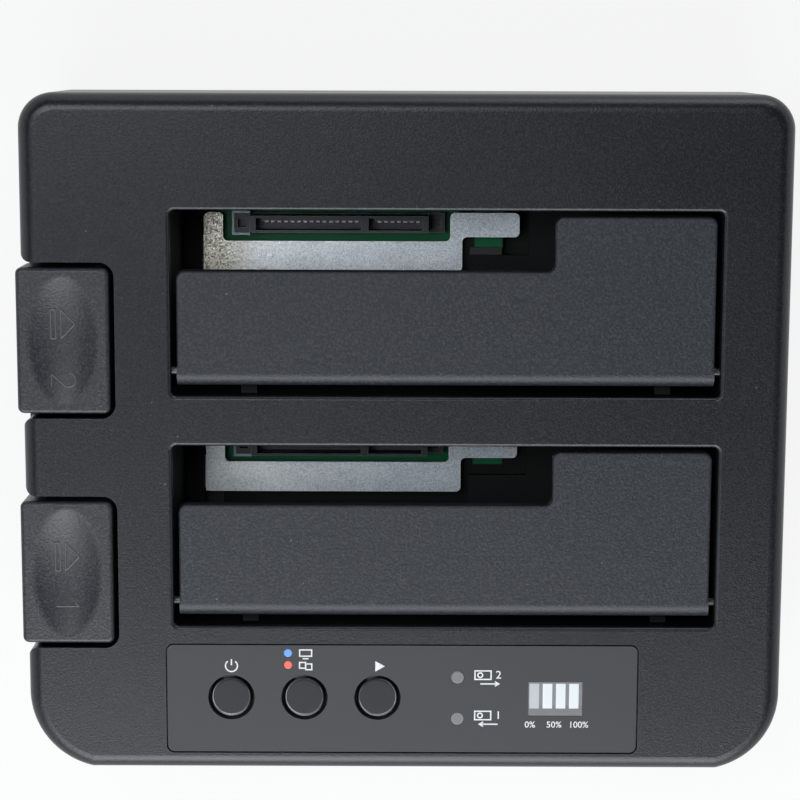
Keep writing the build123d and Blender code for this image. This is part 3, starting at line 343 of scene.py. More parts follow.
def newMaterial(name, fixed):
    # a material with its shader, whose fixed sockets are set here
    material = bpy.data.materials.new(name)
    material.use_nodes = True
    tree = material.node_tree
    shader = tree.nodes["Principled BSDF"]
    for label, value in fixed.items():
        shader.inputs[label].default_value = value
    return material, tree, shader


def mixColors(tree, mask, low, high):
    node = tree.nodes.new("ShaderNodeMix")
    node.data_type = "RGBA"
    tree.links.new(mask, node.inputs["Factor"])
    for label, value in (("A", low), ("B", high)):
        socket = next(s for s in node.inputs if s.name == label and s.type == "RGBA")
        if isinstance(value, tuple):
            socket.default_value = (*value, 1)
        else:
            tree.links.new(value, socket)
    return next(s for s in node.outputs if s.type == "RGBA")


def addBump(tree, shader, height, strength, distance):
    node = tree.nodes.new("ShaderNodeBump")
    node.inputs["Strength"].default_value = strength
    node.inputs["Distance"].default_value = distance
    tree.links.new(height, node.inputs["Height"])
    tree.links.new(node.outputs["Normal"], shader.inputs["Normal"])


plasticCommon = {
    "specular": 0.5, "grit": 0.15,   # grit: how far the tips of the grain go to the edge's colour
    "dust": 0.04, "dustCover": 0.35, "dustColor": (0.3, 0.3, 0.3), "edgeBreakup": 0.4,
}


def mouldedPlastic(name, ownLook):
    look = {**plasticCommon, **ownLook}
    material, tree, shader = newMaterial(name, {"Specular IOR Level": look["specular"]})
    grain = useGroup(tree, mouldGrain, **{
        "Grain Scale": look["grainScale"], "Sheen": look["roughness"], "Sheen Spread": look["spread"]})
    body = mixColors(tree, grain["Shade"], look["color"], look["colorAlt"])
    edge = useGroup(tree, edgeWearAndHighlight, Radius=look["edgeRadius"], Breakup=look["edgeBreakup"])
    gritty = mixColors(tree, addMath(tree, "MULTIPLY", grain["Grit"], look["grit"]), body, look["edgeColor"])
    # the rounded edges go towards the edge's colour, as wear and as a painted highlight
    edgeWornAndLit = mixColors(tree, addMath(tree, "MULTIPLY", edge["Mask"], look["edge"]), gritty, look["edgeColor"])
    dust = useGroup(tree, dustFlecks, Amount=look["dust"])
    dusted = mixColors(tree, addMath(tree, "MULTIPLY", dust["Mask"], look["dustCover"]), edgeWornAndLit, look["dustColor"])
    tree.links.new(dusted, shader.inputs["Base Color"])
    tree.links.new(grain["Roughness"], shader.inputs["Roughness"])
    addBump(tree, shader, grain["Height"], look["bump"], look["bumpDepth"])
    return material


plastics = {
    "cover_plastic": {
        "color": (0.0050, 0.0062, 0.0095), "colorAlt": (0.0072, 0.0086, 0.0125), "roughness": 0.35, "spread": 0.05,
        "grainScale": 3800.0, "bump": 0.6, "bumpDepth": 0.05 * mm, "grit": 0.18,
        "edgeRadius": 0.5 * mm, "edge": 0.15, "edgeColor": (0.065, 0.068, 0.074),
    },
    "case_plastic": {
        "color": (0.0105, 0.0115, 0.014), "colorAlt": (0.0135, 0.015, 0.018), "roughness": 0.48, "spread": 0.06,
        "grainScale": 3600.0, "bump": 0.6, "bumpDepth": 0.05 * mm,
        "edgeRadius": 0.4 * mm, "edge": 0.3, "edgeColor": (0.06, 0.062, 0.066),
    },
    "bay_plastic": {
        "color": (0.0030, 0.0033, 0.0040), "colorAlt": (0.0044, 0.0048, 0.0056), "roughness": 0.60, "spread": 0.08,
        "grainScale": 2600.0, "bump": 0.6, "bumpDepth": 0.04 * mm, "specular": 0.25,
        "edgeRadius": 0.3 * mm, "edge": 0.2, "edgeColor": (0.02, 0.02, 0.022),
    },
    "flap_plastic": {
        "color": (0.0150, 0.0175, 0.0235), "colorAlt": (0.0195, 0.0225, 0.0290), "roughness": 0.45, "spread": 0.05,
        "grainScale": 3300.0, "bump": 0.9, "bumpDepth": 0.06 * mm, "grit": 0.4, "specular": 0.38,
        "edgeRadius": 0.4 * mm, "edge": 0.2, "edgeColor": (0.075, 0.078, 0.084),
    },
    "key_plastic": {
        "color": (0.0160, 0.0180, 0.0225), "colorAlt": (0.0205, 0.0228, 0.0280), "roughness": 0.41, "spread": 0.05,
        "grainScale": 3300.0, "bump": 0.9, "bumpDepth": 0.06 * mm, "grit": 0.45,
        "edgeRadius": 0.4 * mm, "edge": 0.4, "edgeColor": (0.075, 0.078, 0.084),
    },
    "panel_plastic": {
        "color": (0.044, 0.045, 0.049), "colorAlt": (0.049, 0.050, 0.054), "roughness": 0.52, "spread": 0.05,
        "grainScale": 4800.0, "bump": 0.25, "bumpDepth": 0.02 * mm, "grit": 0.02, "specular": 0.35,
        "edgeRadius": 0.25 * mm, "edge": 0.4, "edgeColor": (0.12, 0.12, 0.126),
    },
    "socket_plastic": {
        "color": (0.024, 0.024, 0.033), "colorAlt": (0.034, 0.034, 0.044), "roughness": 0.42, "spread": 0.1,
        "grainScale": 5200.0, "bump": 0.25, "bumpDepth": 0.02 * mm, "grit": 0.03,
        # its thin edges painted pale: a painted highlight along the socket's edges
        "edgeRadius": 0.18 * mm, "edge": 1.0, "edgeColor": (0.36, 0.37, 0.43),
    },
    "header_plastic": {
        "color": (0.013, 0.014, 0.0135), "colorAlt": (0.019, 0.021, 0.020), "roughness": 0.5, "spread": 0.08,
        "grainScale": 5200.0, "bump": 0.25, "bumpDepth": 0.02 * mm,
        "edgeRadius": 0.15 * mm, "edge": 0.4, "edgeColor": (0.06, 0.06, 0.06),
    },
    "chip_black": {
        "color": (0.014, 0.014, 0.014), "colorAlt": (0.02, 0.02, 0.02), "roughness": 0.6, "spread": 0.1,
        "grainScale": 6000.0, "bump": 0.3, "bumpDepth": 0.02 * mm,
        "edgeRadius": 0.15 * mm, "edge": 0.3, "edgeColor": (0.06, 0.06, 0.06),
    },
    "foot_rubber": {
        "color": (0.010, 0.010, 0.010), "colorAlt": (0.018, 0.018, 0.018), "roughness": 0.8, "spread": 0.1,
        "grainScale": 1400.0, "bump": 0.4, "bumpDepth": 0.05 * mm, "specular": 0.3, "dust": 0.12,
        "edgeRadius": 0.3 * mm, "edge": 0.2, "edgeColor": (0.05, 0.05, 0.05),
    },
}
buttonLook = {
    "color": (0.019, 0.020, 0.022), "colorAlt": (0.024, 0.025, 0.027), "roughness": 0.40, "spread": 0.06,
    "grainScale": 5200.0, "specular": 0.3, "flatRadius": 3.45 * mm,
    # shoulder: painted nearly black, a painted dark reflection of the glossy round-over
    "shoulder": (0.0035, 0.0035, 0.004), "shoulderWidth": 0.35 * mm, "shoulderSheen": 0.5,
    "shoulderCoat": 0.9, "coatRoughness": 0.08, "roundOver": 0.7 * mm, "shoulderDrop": 0.4 * mm,
    # rim: a painted highlight, a thin pale ring where the flat ends
    "rim": (0.50, 0.51, 0.52), "rimOut": 0.08 * mm, "rimHalf": 0.10 * mm,    # a thin ring where the flat ends
    "rimScale": 260.0, "rimSpan": (0.35, 0.62), "rimLeast": 0.15,            # how the ring comes and goes
}


def polishedButton(name, look):
    # a satin flat top inside a polished shoulder that rounds over towards the hole, painted black as a painted dark
    # reflection, with a painted highlight ring where the flat ends
    material, tree, shader = newMaterial(name, {
        "Coat Roughness": look["coatRoughness"], "Specular IOR Level": look["specular"]})
    low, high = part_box(name)
    middle = tree.nodes.new("ShaderNodeVectorMath")
    middle.operation = "SUBTRACT"
    middle.inputs[1].default_value = ((low.x + high.x) / 2, (low.y + high.y) / 2, 0)
    tree.links.new(objectPlace(tree), middle.inputs[0])
    around = tree.nodes.new("ShaderNodeSeparateXYZ")
    tree.links.new(middle.outputs[0], around.inputs[0])
    squares = [addMath(tree, "POWER", addMath(tree, "ABSOLUTE", around.outputs[axis]), 2.0) for axis in "XY"]
    radius = addMath(tree, "SQRT", addMath(tree, "ADD", *squares))
    shoulder = addRange(tree, radius, look["flatRadius"], look["flatRadius"] + look["shoulderWidth"], 0.0, 1.0)
    grain = useGroup(tree, mouldGrain, **{
        "Grain Scale": look["grainScale"], "Sheen": look["roughness"], "Sheen Spread": look["spread"]})
    body = mixColors(tree, grain["Shade"], look["color"], look["colorAlt"])
    # the shoulder takes a painted dark reflection
    darkShoulder = mixColors(tree, shoulder, body, look["shoulder"])
    # a painted highlight ring just outside the flat, broken by noise
    away = addMath(tree, "ABSOLUTE", addMath(tree, "SUBTRACT", radius, look["flatRadius"] + look["rimOut"]))
    rim = addRange(tree, away, look["rimHalf"], 0.0, 0.0, 1.0)
    cloudy = addNoise(tree, objectPlace(tree), look["rimScale"])
    broken = addRange(tree, cloudy, *look["rimSpan"], look["rimLeast"], 1.0)
    rimmed = mixColors(tree, addMath(tree, "MULTIPLY", rim, broken), darkShoulder, look["rim"])
    tree.links.new(rimmed, shader.inputs["Base Color"])
    polish = addRange(tree, shoulder, 0.0, 1.0, 1.0, look["shoulderSheen"])
    tree.links.new(addMath(tree, "MULTIPLY", grain["Roughness"], polish), shader.inputs["Roughness"])
    tree.links.new(addMath(tree, "MULTIPLY", shoulder, look["shoulderCoat"]), shader.inputs["Coat Weight"])
    reach = addRange(tree, radius, look["flatRadius"], look["flatRadius"] + look["roundOver"], 0.0, 1.0)
    fall = addMath(tree, "MULTIPLY", addMath(tree, "MULTIPLY", reach, reach), -1.0)
    addBump(tree, shader, fall, 1.0, look["shoulderDrop"])
    return material


zinc = {
    "dark": (0.33, 0.37, 0.41), "bright": (0.88, 0.94, 1.0), "metallic": 0.75, "roughness": (0.30, 0.50),
    "crystalScale": 5200.0, "crystalShare": 0.6, "bump": 0.8, "bumpDepth": 0.02 * mm,
    "fineShare": 0.8,                # of the crystals' scale, for the fine noise in the bump
    "cloudScale": 160.0, "cloudNoise": (4.0, 0.6), "cloudShare": 0.5,
    # a painted pool of light, paler towards the left
    "paintedLight": (0.95, 0.96, 0.93), "paintedLightSpan": (-32 * mm, 2 * mm), "paintedLightMost": 0.85,
    # a painted warm reflection at the left end of the rear bay's plate
    "paintedReflection": (0.88, 0.83, 0.70), "paintedReflectionSpan": (-36 * mm, -29 * mm), "paintedReflectionBehind": 8 * mm, "paintedReflectionMost": 0.8,
    # speck: painted mottled shade over that end of the plate
    "speck": (0.16, 0.145, 0.11), "shadeSpeckScale": 2600.0, "shadeSpeckNoise": (2.0, 0.6), "speckSpan": (0.50, 0.58),
    "paintedShadeMost": 0.8,
    # edge: a painted highlight along the plate's edges
    "edge": (0.95, 0.97, 1.0), "edgeRadius": 0.25 * mm, "edgeBreakup": 0.3, "edgeMost": 0.8,
}


def galvanised(look):
    # frosted zinc: small crystals that each catch the light their own way, with a painted pool of light that makes it
    # paler towards the left, and on the rear bay's plate a painted warm reflection and painted mottled shade at its
    # left end
    material, tree, shader = newMaterial("galvanised_sheet", {"Metallic": look["metallic"]})
    place = objectPlace(tree)
    crystals = tree.nodes.new("ShaderNodeTexVoronoi")
    crystals.inputs["Scale"].default_value = look["crystalScale"]
    tree.links.new(place, crystals.inputs["Vector"])
    split = tree.nodes.new("ShaderNodeSeparateColor")
    tree.links.new(crystals.outputs["Color"], split.inputs["Color"])
    cloudy = addNoise(tree, place, look["cloudScale"], *look["cloudNoise"])
    tone = addMath(tree, "ADD", addMath(tree, "MULTIPLY", split.outputs["Red"], look["crystalShare"]),
                   addMath(tree, "MULTIPLY", cloudy, look["cloudShare"]))
    base = mixColors(tree, tone, look["dark"], look["bright"])
    along = tree.nodes.new("ShaderNodeSeparateXYZ")
    tree.links.new(place, along.inputs[0])
    # painted light: the plate paler towards the left
    paintedLight = addRange(tree, along.outputs["X"], *look["paintedLightSpan"], look["paintedLightMost"], 0.0)
    base = mixColors(tree, addMath(tree, "MULTIPLY", paintedLight, tone), base, look["paintedLight"])
    rearBay = addMath(tree, "GREATER_THAN", along.outputs["Y"], look["paintedReflectionBehind"])
    # a painted warm reflection at the left end of the rear bay's plate
    paintedReflection = addMath(tree, "MULTIPLY", addRange(tree, along.outputs["X"], *look["paintedReflectionSpan"], 1.0, 0.0), rearBay)
    base = mixColors(tree, addMath(tree, "MULTIPLY", paintedReflection, look["paintedReflectionMost"]), base, look["paintedReflection"])
    # painted mottled shade over the same end
    shadeMottle = addNoise(tree, place, look["shadeSpeckScale"], *look["shadeSpeckNoise"])
    paintedShadeSpecks = addRange(tree, shadeMottle, *look["speckSpan"], 0.0, look["paintedShadeMost"])
    base = mixColors(tree, addMath(tree, "MULTIPLY", paintedReflection, paintedShadeSpecks), base, look["speck"])
    # the edges take a painted highlight
    edge = useGroup(tree, edgeWearAndHighlight, Radius=look["edgeRadius"], Breakup=look["edgeBreakup"])
    edgeWornAndLit = mixColors(tree, addMath(tree, "MULTIPLY", edge["Mask"], look["edgeMost"]), base, look["edge"])
    tree.links.new(edgeWornAndLit, shader.inputs["Base Color"])
    tree.links.new(addRange(tree, split.outputs["Green"], 0.0, 1.0, *look["roughness"]), shader.inputs["Roughness"])
    fine = addNoise(tree, place, look["crystalScale"] * look["fineShare"])
    addBump(tree, shader, addMath(tree, "ADD", split.outputs["Blue"], fine), look["bump"], look["bumpDepth"])
    return material


metalCommon = {
    "lineScale": 900.0, "lineSpan": (0.2, 0.8), "cloudScale": 240.0, "noise": (3.0, 0.6),
    "edgeRadius": 0.12 * mm, "edgeBreakup": 0.3, "edgeMost": 0.5, "bump": 0.25, "bumpDepth": 0.01 * mm,
}
metals = {
    # grain: how the lines are stretched along each axis
    "steel_pin": {
        "grain": (0.2, 1, 1), "dark": (0.06, 0.06, 0.065), "bright": (0.12, 0.12, 0.125), "edge": (0.3, 0.3, 0.3),
        "roughness": (0.3, 0.5),
    },
    "screw_steel": {
        "grain": (1, 1, 1), "dark": (0.12, 0.12, 0.125), "bright": (0.24, 0.24, 0.25), "edge": (0.5, 0.5, 0.5),
        "roughness": (0.32, 0.5),
    },
    "plated_contacts": {
        "grain": (1, 1, 0.2), "dark": (0.17, 0.14, 0.18), "bright": (0.30, 0.26, 0.30),
        "edge": (0.5, 0.46, 0.5), "roughness": (0.3, 0.5),
    },
    "tinned_steel": {
        "grain": (1, 1, 0.2), "dark": (0.20, 0.26, 0.31), "bright": (0.32, 0.39, 0.45),
        "edge": (0.60, 0.68, 0.72), "roughness": (0.4, 0.6),
    },
    "capacitor_can": {
        "grain": (1, 1, 0.1), "dark": (0.55, 0.55, 0.57), "bright": (0.75, 0.75, 0.77), "edge": (0.9, 0.9, 0.9),
        "roughness": (0.2, 0.35),
    },
}


def bareMetal(name, ownLook):
    look = {**metalCommon, **ownLook}
    material, tree, shader = newMaterial(name, {"Metallic": 1.0})
    place = objectPlace(tree)
    stretch = tree.nodes.new("ShaderNodeMapping")
    stretch.inputs["Scale"].default_value = look["grain"]
    tree.links.new(place, stretch.inputs["Vector"])
    lines = addNoise(tree, stretch.outputs[0], look["lineScale"], *look["noise"])
    cloudy = addNoise(tree, place, look["cloudScale"], *look["noise"])
    base = mixColors(tree, cloudy, look["dark"], look["bright"])
    edge = useGroup(tree, edgeWearAndHighlight, Radius=look["edgeRadius"], Breakup=look["edgeBreakup"])
    # the rounded edges go towards the edge's colour, as wear and as a painted highlight
    edgeWornAndLit = mixColors(tree, addMath(tree, "MULTIPLY", edge["Mask"], look["edgeMost"]), base, look["edge"])
    tree.links.new(edgeWornAndLit, shader.inputs["Base Color"])
    tree.links.new(addRange(tree, lines, *look["lineSpan"], *look["roughness"]), shader.inputs["Roughness"])
    addBump(tree, shader, lines, look["bump"], look["bumpDepth"])
    return material


board = {
    "mask": (0.001, 0.19, 0.068), "track": (0.008, 0.36, 0.13), "specular": 0.15, "roughness": (0.28, 0.42),
    "trackScale": 700.0, "trackWidth": 0.03, "bump": 0.3, "bumpDepth": 0.02 * mm,
    "mottleScale": 300.0, "mottleNoise": (3.0, 0.6), "mottleSpan": (0.2, 0.8),
    # dark: painted shade, in bands where the board lies in shadow beside and under the plate
    "dark": (0.003, 0.008, 0.006), "shadeSoft": 0.2 * mm,
    "shadeSpans": [("X", 10.9, 14.4), ("X", 20.1, 26.7), ("Y", -70.0, -10.4), ("Y", 10.0, 33.8)],   # millimetres
}


def circuitBoard(look):
    # green solder mask over faint copper tracks, and bands across the board painted nearly black as painted shade
    material, tree, shader = newMaterial("board_green", {"Specular IOR Level": look["specular"]})
    place = objectPlace(tree)
    tracks = tree.nodes.new("ShaderNodeTexBrick")
    tracks.inputs["Scale"].default_value = look["trackScale"]
    tracks.inputs["Mortar Size"].default_value = look["trackWidth"]
    tree.links.new(place, tracks.inputs["Vector"])
    mottle = addNoise(tree, place, look["mottleScale"], *look["mottleNoise"])
    mask = addMath(tree, "MULTIPLY", tracks.outputs["Fac"], mottle)
    green = mixColors(tree, mask, look["mask"], look["track"])
    along = tree.nodes.new("ShaderNodeSeparateXYZ")
    tree.links.new(place, along.inputs[0])
    paintedShade = 0.0
    for axis, low, high in look["shadeSpans"]:
        away = addMath(tree, "SUBTRACT", along.outputs[axis], (low + high) / 2 * mm)
        half = (high - low) / 2 * mm
        span = addRange(tree, addMath(tree, "ABSOLUTE", away), half, half - look["shadeSoft"], 0.0, 1.0)
        paintedShade = addMath(tree, "MAXIMUM", span, paintedShade)
    tree.links.new(mixColors(tree, paintedShade, green, look["dark"]), shader.inputs["Base Color"])
    tree.links.new(addRange(tree, mottle, *look["mottleSpan"], *look["roughness"]), shader.inputs["Roughness"])
    addBump(tree, shader, tracks.outputs["Fac"], look["bump"], look["bumpDepth"])
    return material


cloud = {"noise": (3.0, 0.6), "span": (0.2, 0.8)}    # the slight cloudiness of lenses and print
lensCommon = {
    "coat": 0.3, "coatRoughness": 0.1, "cloudScale": 1200.0, "roughness": (0.35, 0.5),
    "bump": 0.1, "bumpDepth": 0.02 * mm,
}
lenses = {
    "grey_lens": {"dark": (0.17, 0.175, 0.178), "bright": (0.215, 0.22, 0.225)},
    "lamp_white": {"dark": (0.6, 0.6, 0.5), "bright": (0.75, 0.75, 0.66)},
}


def clearLens(name, ownLook):
    look = {**lensCommon, **ownLook}
    material, tree, shader = newMaterial(name, {
        "Coat Weight": look["coat"], "Coat Roughness": look["coatRoughness"]})
    cloudy = addNoise(tree, objectPlace(tree), look["cloudScale"], *cloud["noise"])
    tree.links.new(mixColors(tree, cloudy, look["dark"], look["bright"]), shader.inputs["Base Color"])
    tree.links.new(addRange(tree, cloudy, *cloud["span"], *look["roughness"]), shader.inputs["Roughness"])
    addBump(tree, shader, cloudy, look["bump"], look["bumpDepth"])
    return material


modeLow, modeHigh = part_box("mode_lights")
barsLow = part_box("progress_bars")[0]
splitCommon = {"coatRoughness": 0.1, "cloudScale": 900.0, "bump": 0.08, "bumpDepth": 0.02 * mm}
splits = {
    "mode_lens": {
        "axis": "Y", "at": (modeLow.y + modeHigh.y) / 2, "low": (0.86, 0.15, 0.105), "lowAlt": (0.92, 0.19, 0.14),
        "high": (0.15, 0.36, 0.82), "highAlt": (0.19, 0.43, 0.92), "roughness": (0.35, 0.5), "coat": 0.1,
    },
    "display_black": {
        "axis": "Y", "at": barsLow.y + 0.6 * mm, "low": (0.17, 0.17, 0.175), "lowAlt": (0.21, 0.21, 0.215),
        "high": (0.20, 0.20, 0.21), "highAlt": (0.25, 0.25, 0.26), "roughness": (0.3, 0.42), "coat": 0.2,
    },
    "bar_white": {
        "axis": "X", "at": barsLow.x + 2.2 * mm, "low": (0.50, 0.515, 0.53), "lowAlt": (0.55, 0.565, 0.58),
        "high": (0.76, 0.80, 0.82), "highAlt": (0.80, 0.84, 0.86), "roughness": (0.35, 0.5), "coat": 0.1,
    },
}


def splitMaterial(name, ownLook):
    # one moulding in two colours, parted by a line across the object
    look = {**splitCommon, **ownLook}
    material, tree, shader = newMaterial(name, {
        "Coat Weight": look["coat"], "Coat Roughness": look["coatRoughness"]})
    place = objectPlace(tree)
    axes = tree.nodes.new("ShaderNodeSeparateXYZ")
    tree.links.new(place, axes.inputs[0])
    beyond = addMath(tree, "GREATER_THAN", axes.outputs[look["axis"]], look["at"])
    cloudy = addNoise(tree, place, look["cloudScale"], *cloud["noise"])
    low = mixColors(tree, cloudy, look["low"], look["lowAlt"])
    high = mixColors(tree, cloudy, look["high"], look["highAlt"])
    tree.links.new(mixColors(tree, beyond, low, high), shader.inputs["Base Color"])
    tree.links.new(addRange(tree, cloudy, *cloud["span"], *look["roughness"]), shader.inputs["Roughness"])
    addBump(tree, shader, cloudy, look["bump"], look["bumpDepth"])
    return material


ribbonLook = {
    # gap: painted shade in the grooves between the wires
    "color": (0.42, 0.42, 0.43), "gap": (0.22, 0.22, 0.23), "pitch": 1.27 * mm,
    "specular": 0.4, "roughness": (0.6, 0.45), "bump": 0.6, "bumpDepth": 0.3 * mm,
}


def ribbonMaterial(look):
    # round wires side by side, with painted shade darkening the grooves between them
    material, tree, shader = newMaterial("ribbon_grey", {"Specular IOR Level": look["specular"]})
    place = objectPlace(tree)
    axes = tree.nodes.new("ShaderNodeSeparateXYZ")
    tree.links.new(place, axes.inputs[0])
    phase = addMath(tree, "PINGPONG", axes.outputs["X"], look["pitch"] / 2)
    ridge = addRange(tree, phase, 0.0, look["pitch"] / 2, 0.0, 1.0)
    tree.links.new(mixColors(tree, ridge, look["gap"], look["color"]), shader.inputs["Base Color"])
    tree.links.new(addRange(tree, ridge, 0.0, 1.0, *look["roughness"]), shader.inputs["Roughness"])
    addBump(tree, shader, ridge, look["bump"], look["bumpDepth"])
    return material


inkLook = {
    "thin": (0.66, 0.67, 0.68), "full": (0.84, 0.85, 0.86), "fullSpan": (0.3, 0.5), "cloudScale": 2600.0,
    "specular": 0.3, "roughness": (0.5, 0.65), "bump": 0.2, "bumpDepth": 0.01 * mm,
}


def screenInk(look):
    # white print, a little thinner in places
    material, tree, shader = newMaterial("screen_ink", {"Specular IOR Level": look["specular"]})
    cover = addNoise(tree, objectPlace(tree), look["cloudScale"], *cloud["noise"])
    laid = addRange(tree, cover, *look["fullSpan"], 0.0, 1.0)
    tree.links.new(mixColors(tree, laid, look["thin"], look["full"]), shader.inputs["Base Color"])
    tree.links.new(addRange(tree, cover, *cloud["span"], *look["roughness"]), shader.inputs["Roughness"])
    addBump(tree, shader, cover, look["bump"], look["bumpDepth"])
    return material


finishes = {slot: mouldedPlastic(slot, look) for slot, look in plastics.items()}
finishes.update({slot: bareMetal(slot, look) for slot, look in metals.items()})
finishes.update({slot: clearLens(slot, look) for slot, look in lenses.items()})
finishes.update({slot: splitMaterial(slot, look) for slot, look in splits.items()})
finishes["galvanised_sheet"] = galvanised(zinc)
finishes["board_green"] = circuitBoard(board)
finishes["ribbon_grey"] = ribbonMaterial(ribbonLook)
ink = screenInk(inkLook)
for name in ("power_button", "mode_button", "start_button"):
    finishes[name] = polishedButton(name, buttonLook)
print("materials made,", len(finishes))

for part in frame["record"]["subparts"]:
    node = nodes[part["node"]]
    if not node.material_slots:
        node.data.materials.append(None)
    for slot in node.material_slots:
        slot.material = finishes.get(part["node"]) or finishes[part["material_slot"]]
print("finishes assigned")


# marks: plain pictograms and numerals only, laid on the surfaces that carry them

rayFrom = 0.2                        # a height above the whole object, in metres


def surfaceOf(nodeName):
    node = nodes[nodeName]
    places = [node.matrix_world @ vertex.co for vertex in node.data.vertices]
    return BVHTree.FromPolygons(places, [tuple(face.vertices) for face in node.data.polygons])


def dropOn(surface, x, y):
    # the place and the way out of the first surface under a point
    return surface.ray_cast(Vector((x, y, rayFrom)), Vector((0, 0, -1)))[:2]


def arc(x, y, radius, fromDegrees, toDegrees, steps=20):
    turns = [math.radians(fromDegrees + (toDegrees - fromDegrees) * step / steps) for step in range(steps + 1)]
    return [(x + radius * math.cos(turn), y + radius * math.sin(turn)) for turn in turns]


def strokeEdges(path, width, closed):
    # the two sides of a flat stroke, mitred at its corners
    sides = []
    count = len(path)
    for index in range(count):
        here = Vector(path[index])
        before = Vector(path[index - 1]) if index or closed else None
        after = Vector(path[(index + 1) % count]) if index < count - 1 or closed else None
        into = (here - before).normalized() if before else (after - here).normalized()
        away = (after - here).normalized() if after else into
        across = Vector((-(into + away).y, (into + away).x)).normalized()
        reach = width / 2 / max(0.5, across.dot(Vector((-into.y, into.x))))    # a mitre is cut at twice the half width
        sides.append((here + across * reach, here - across * reach))
    return sides


def addToScene(piece, body, material):
    bpy.context.scene.collection.objects.link(piece)
    piece.data.materials.append(material)
    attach(piece, body)


panelMarks = {
    # places and sizes on the panel are in millimetres, shares are of the size that they follow
    "stroke": 0.26 * mm,
    "thickness": 0.02 * mm,
    "clear": 0.005 * mm,             # of the print from the panel
    "power": {"at": (-32.9, -44.75), "radius": 1.15, "gapDegrees": 38, "barShares": (0.1, 1.15)},
    "screen": {"at": (-18.6, -42.35), "width": 2.3, "height": 1.25, "raise": 0.2, "footDrop": 0.3},
    "copy": {"at": (-18.6, -44.75), "side": 1.15, "shift": 0.75, "shiftShares": (1.6, 0.4)},
    "start": {"at": (-4.45, -44.75), "size": 1.05, "backShare": 0.7, "tipShare": 1.05},
    "drives": [
        # middle of the drive's outline, the number beside it, which way its arrow points
        {"at": (15.6, -46.45), "numeral": "2", "arrow": 1},
        {"at": (15.6, -54.55), "numeral": "1", "arrow": -1},
    ],
    "driveSize": (3.1, 1.7),
    "platter": {"leftShare": 0.35, "radiusShare": 0.55, "toDegrees": 342},
    "numeralHeight": 1.55,
    "numeralShift": 3.0,
    "arrowBelow": 1.75,
    "arrowLength": 3.4,
    "arrowShift": -0.3,
    "arrowHead": (0.6, 0.45, 0.15),  # how far back and to each side its barbs go, and how far on its point
    "scale": [("0%", 24.75), ("50%", 29.4), ("100%", 34.15)],
    "scaleAlong": -56.4,
    "scaleHeight": 1.22,
    "capShare": 0.69,                # height of a numeral over the type size
    "bolder": 0.012 * mm,
}


def frameAround(x, y, wide, high):
    # a closed outline, from half its width and half its height
    return [(x - wide, y - high), (x + wide, y - high), (x + wide, y + high), (x - wide, y + high)], True


def pictograms(look):
    # strokes as (path, closed) and filled outlines, in millimetres on the panel
    strokes, fills = [], []
    power = look["power"]
    x, y = power["at"]
    radius, gap = power["radius"], power["gapDegrees"]
    strokes.append((arc(x, y, radius, 90 + gap, 450 - gap, 32), False))
    strokes.append(([(x, y + share * radius) for share in power["barShares"]], False))

    screen = look["screen"]
    x, y = screen["at"]
    wide, high = screen["width"] / 2, screen["height"] / 2
    strokes.append(frameAround(x, y + screen["raise"], wide, high))
    foot = y - high - screen["footDrop"]
    strokes.append(([(x - wide / 2, foot), (x + wide / 2, foot)], False))

    copy = look["copy"]
    x, y = copy["at"]
    half, shift = copy["side"] / 2, copy["shift"] / 2
    aside, down = copy["shiftShares"]
    for side in (-1, 1):
        strokes.append(frameAround(x + side * shift * aside, y - side * shift * down, half, half))

    start = look["start"]
    x, y = start["at"]
    size = start["size"]
    back = x - start["backShare"] * size
    fills.append([(back, y - size), (x + start["tipShare"] * size, y), (back, y + size)])

    wide, high = look["driveSize"][0] / 2, look["driveSize"][1] / 2
    platter, (barbBack, barbAside, pointOn) = look["platter"], look["arrowHead"]
    for drive in look["drives"]:
        x, y = drive["at"]
        strokes.append(frameAround(x, y, wide, high))
        disc = arc(x - platter["leftShare"] * wide, y, platter["radiusShare"] * high, 0, platter["toDegrees"], 19)
        strokes.append((disc, True))
        low, reach, way = y - look["arrowBelow"], look["arrowLength"] / 2, drive["arrow"]
        middle = x + look["numeralShift"] / 2 + look["arrowShift"]
        strokes.append(([(middle - reach, low), (middle + reach, low)], False))
        tip = middle + way * reach
        barb = tip - way * barbBack
        strokes.append(([(barb, low + barbAside), (tip + way * pointOn, low), (barb, low - barbAside)], False))
    return strokes, fills


def printPictograms(look):
    surface = surfaceOf("control_panel")
    strokes, fills = pictograms(look)
    shape = bmesh.new()

    def corner(spot):
        place, outward = dropOn(surface, spot[0] * mm, spot[1] * mm)
        return shape.verts.new(place + outward * look["clear"])

    for path, closed in strokes:
        sides = [[corner(side) for side in pair] for pair in strokeEdges(path, look["stroke"] / mm, closed)]
        following = sides[1:] + sides[:1] if closed else sides[1:]
        for (left, right), (nextLeft, nextRight) in zip(sides, following):
            shape.faces.new((left, right, nextRight, nextLeft))
    for outline in fills:
        shape.faces.new([corner(spot) for spot in outline])
    raised = bmesh.ops.extrude_face_region(shape, geom=shape.faces[:])
    lifted = [item for item in raised["geom"] if isinstance(item, bmesh.types.BMVert)]
    rise = Vector((0, -math.sin(slope), math.cos(slope))) * look["thickness"]
    bmesh.ops.translate(shape, vec=rise, verts=lifted)
    bmesh.ops.recalc_face_normals(shape, faces=shape.faces[:])
    mesh = bpy.data.meshes.new("panelPictograms")
    shape.to_mesh(mesh)
    shape.free()
    addToScene(bpy.data.objects.new("panelPictograms", mesh), "housing", ink)


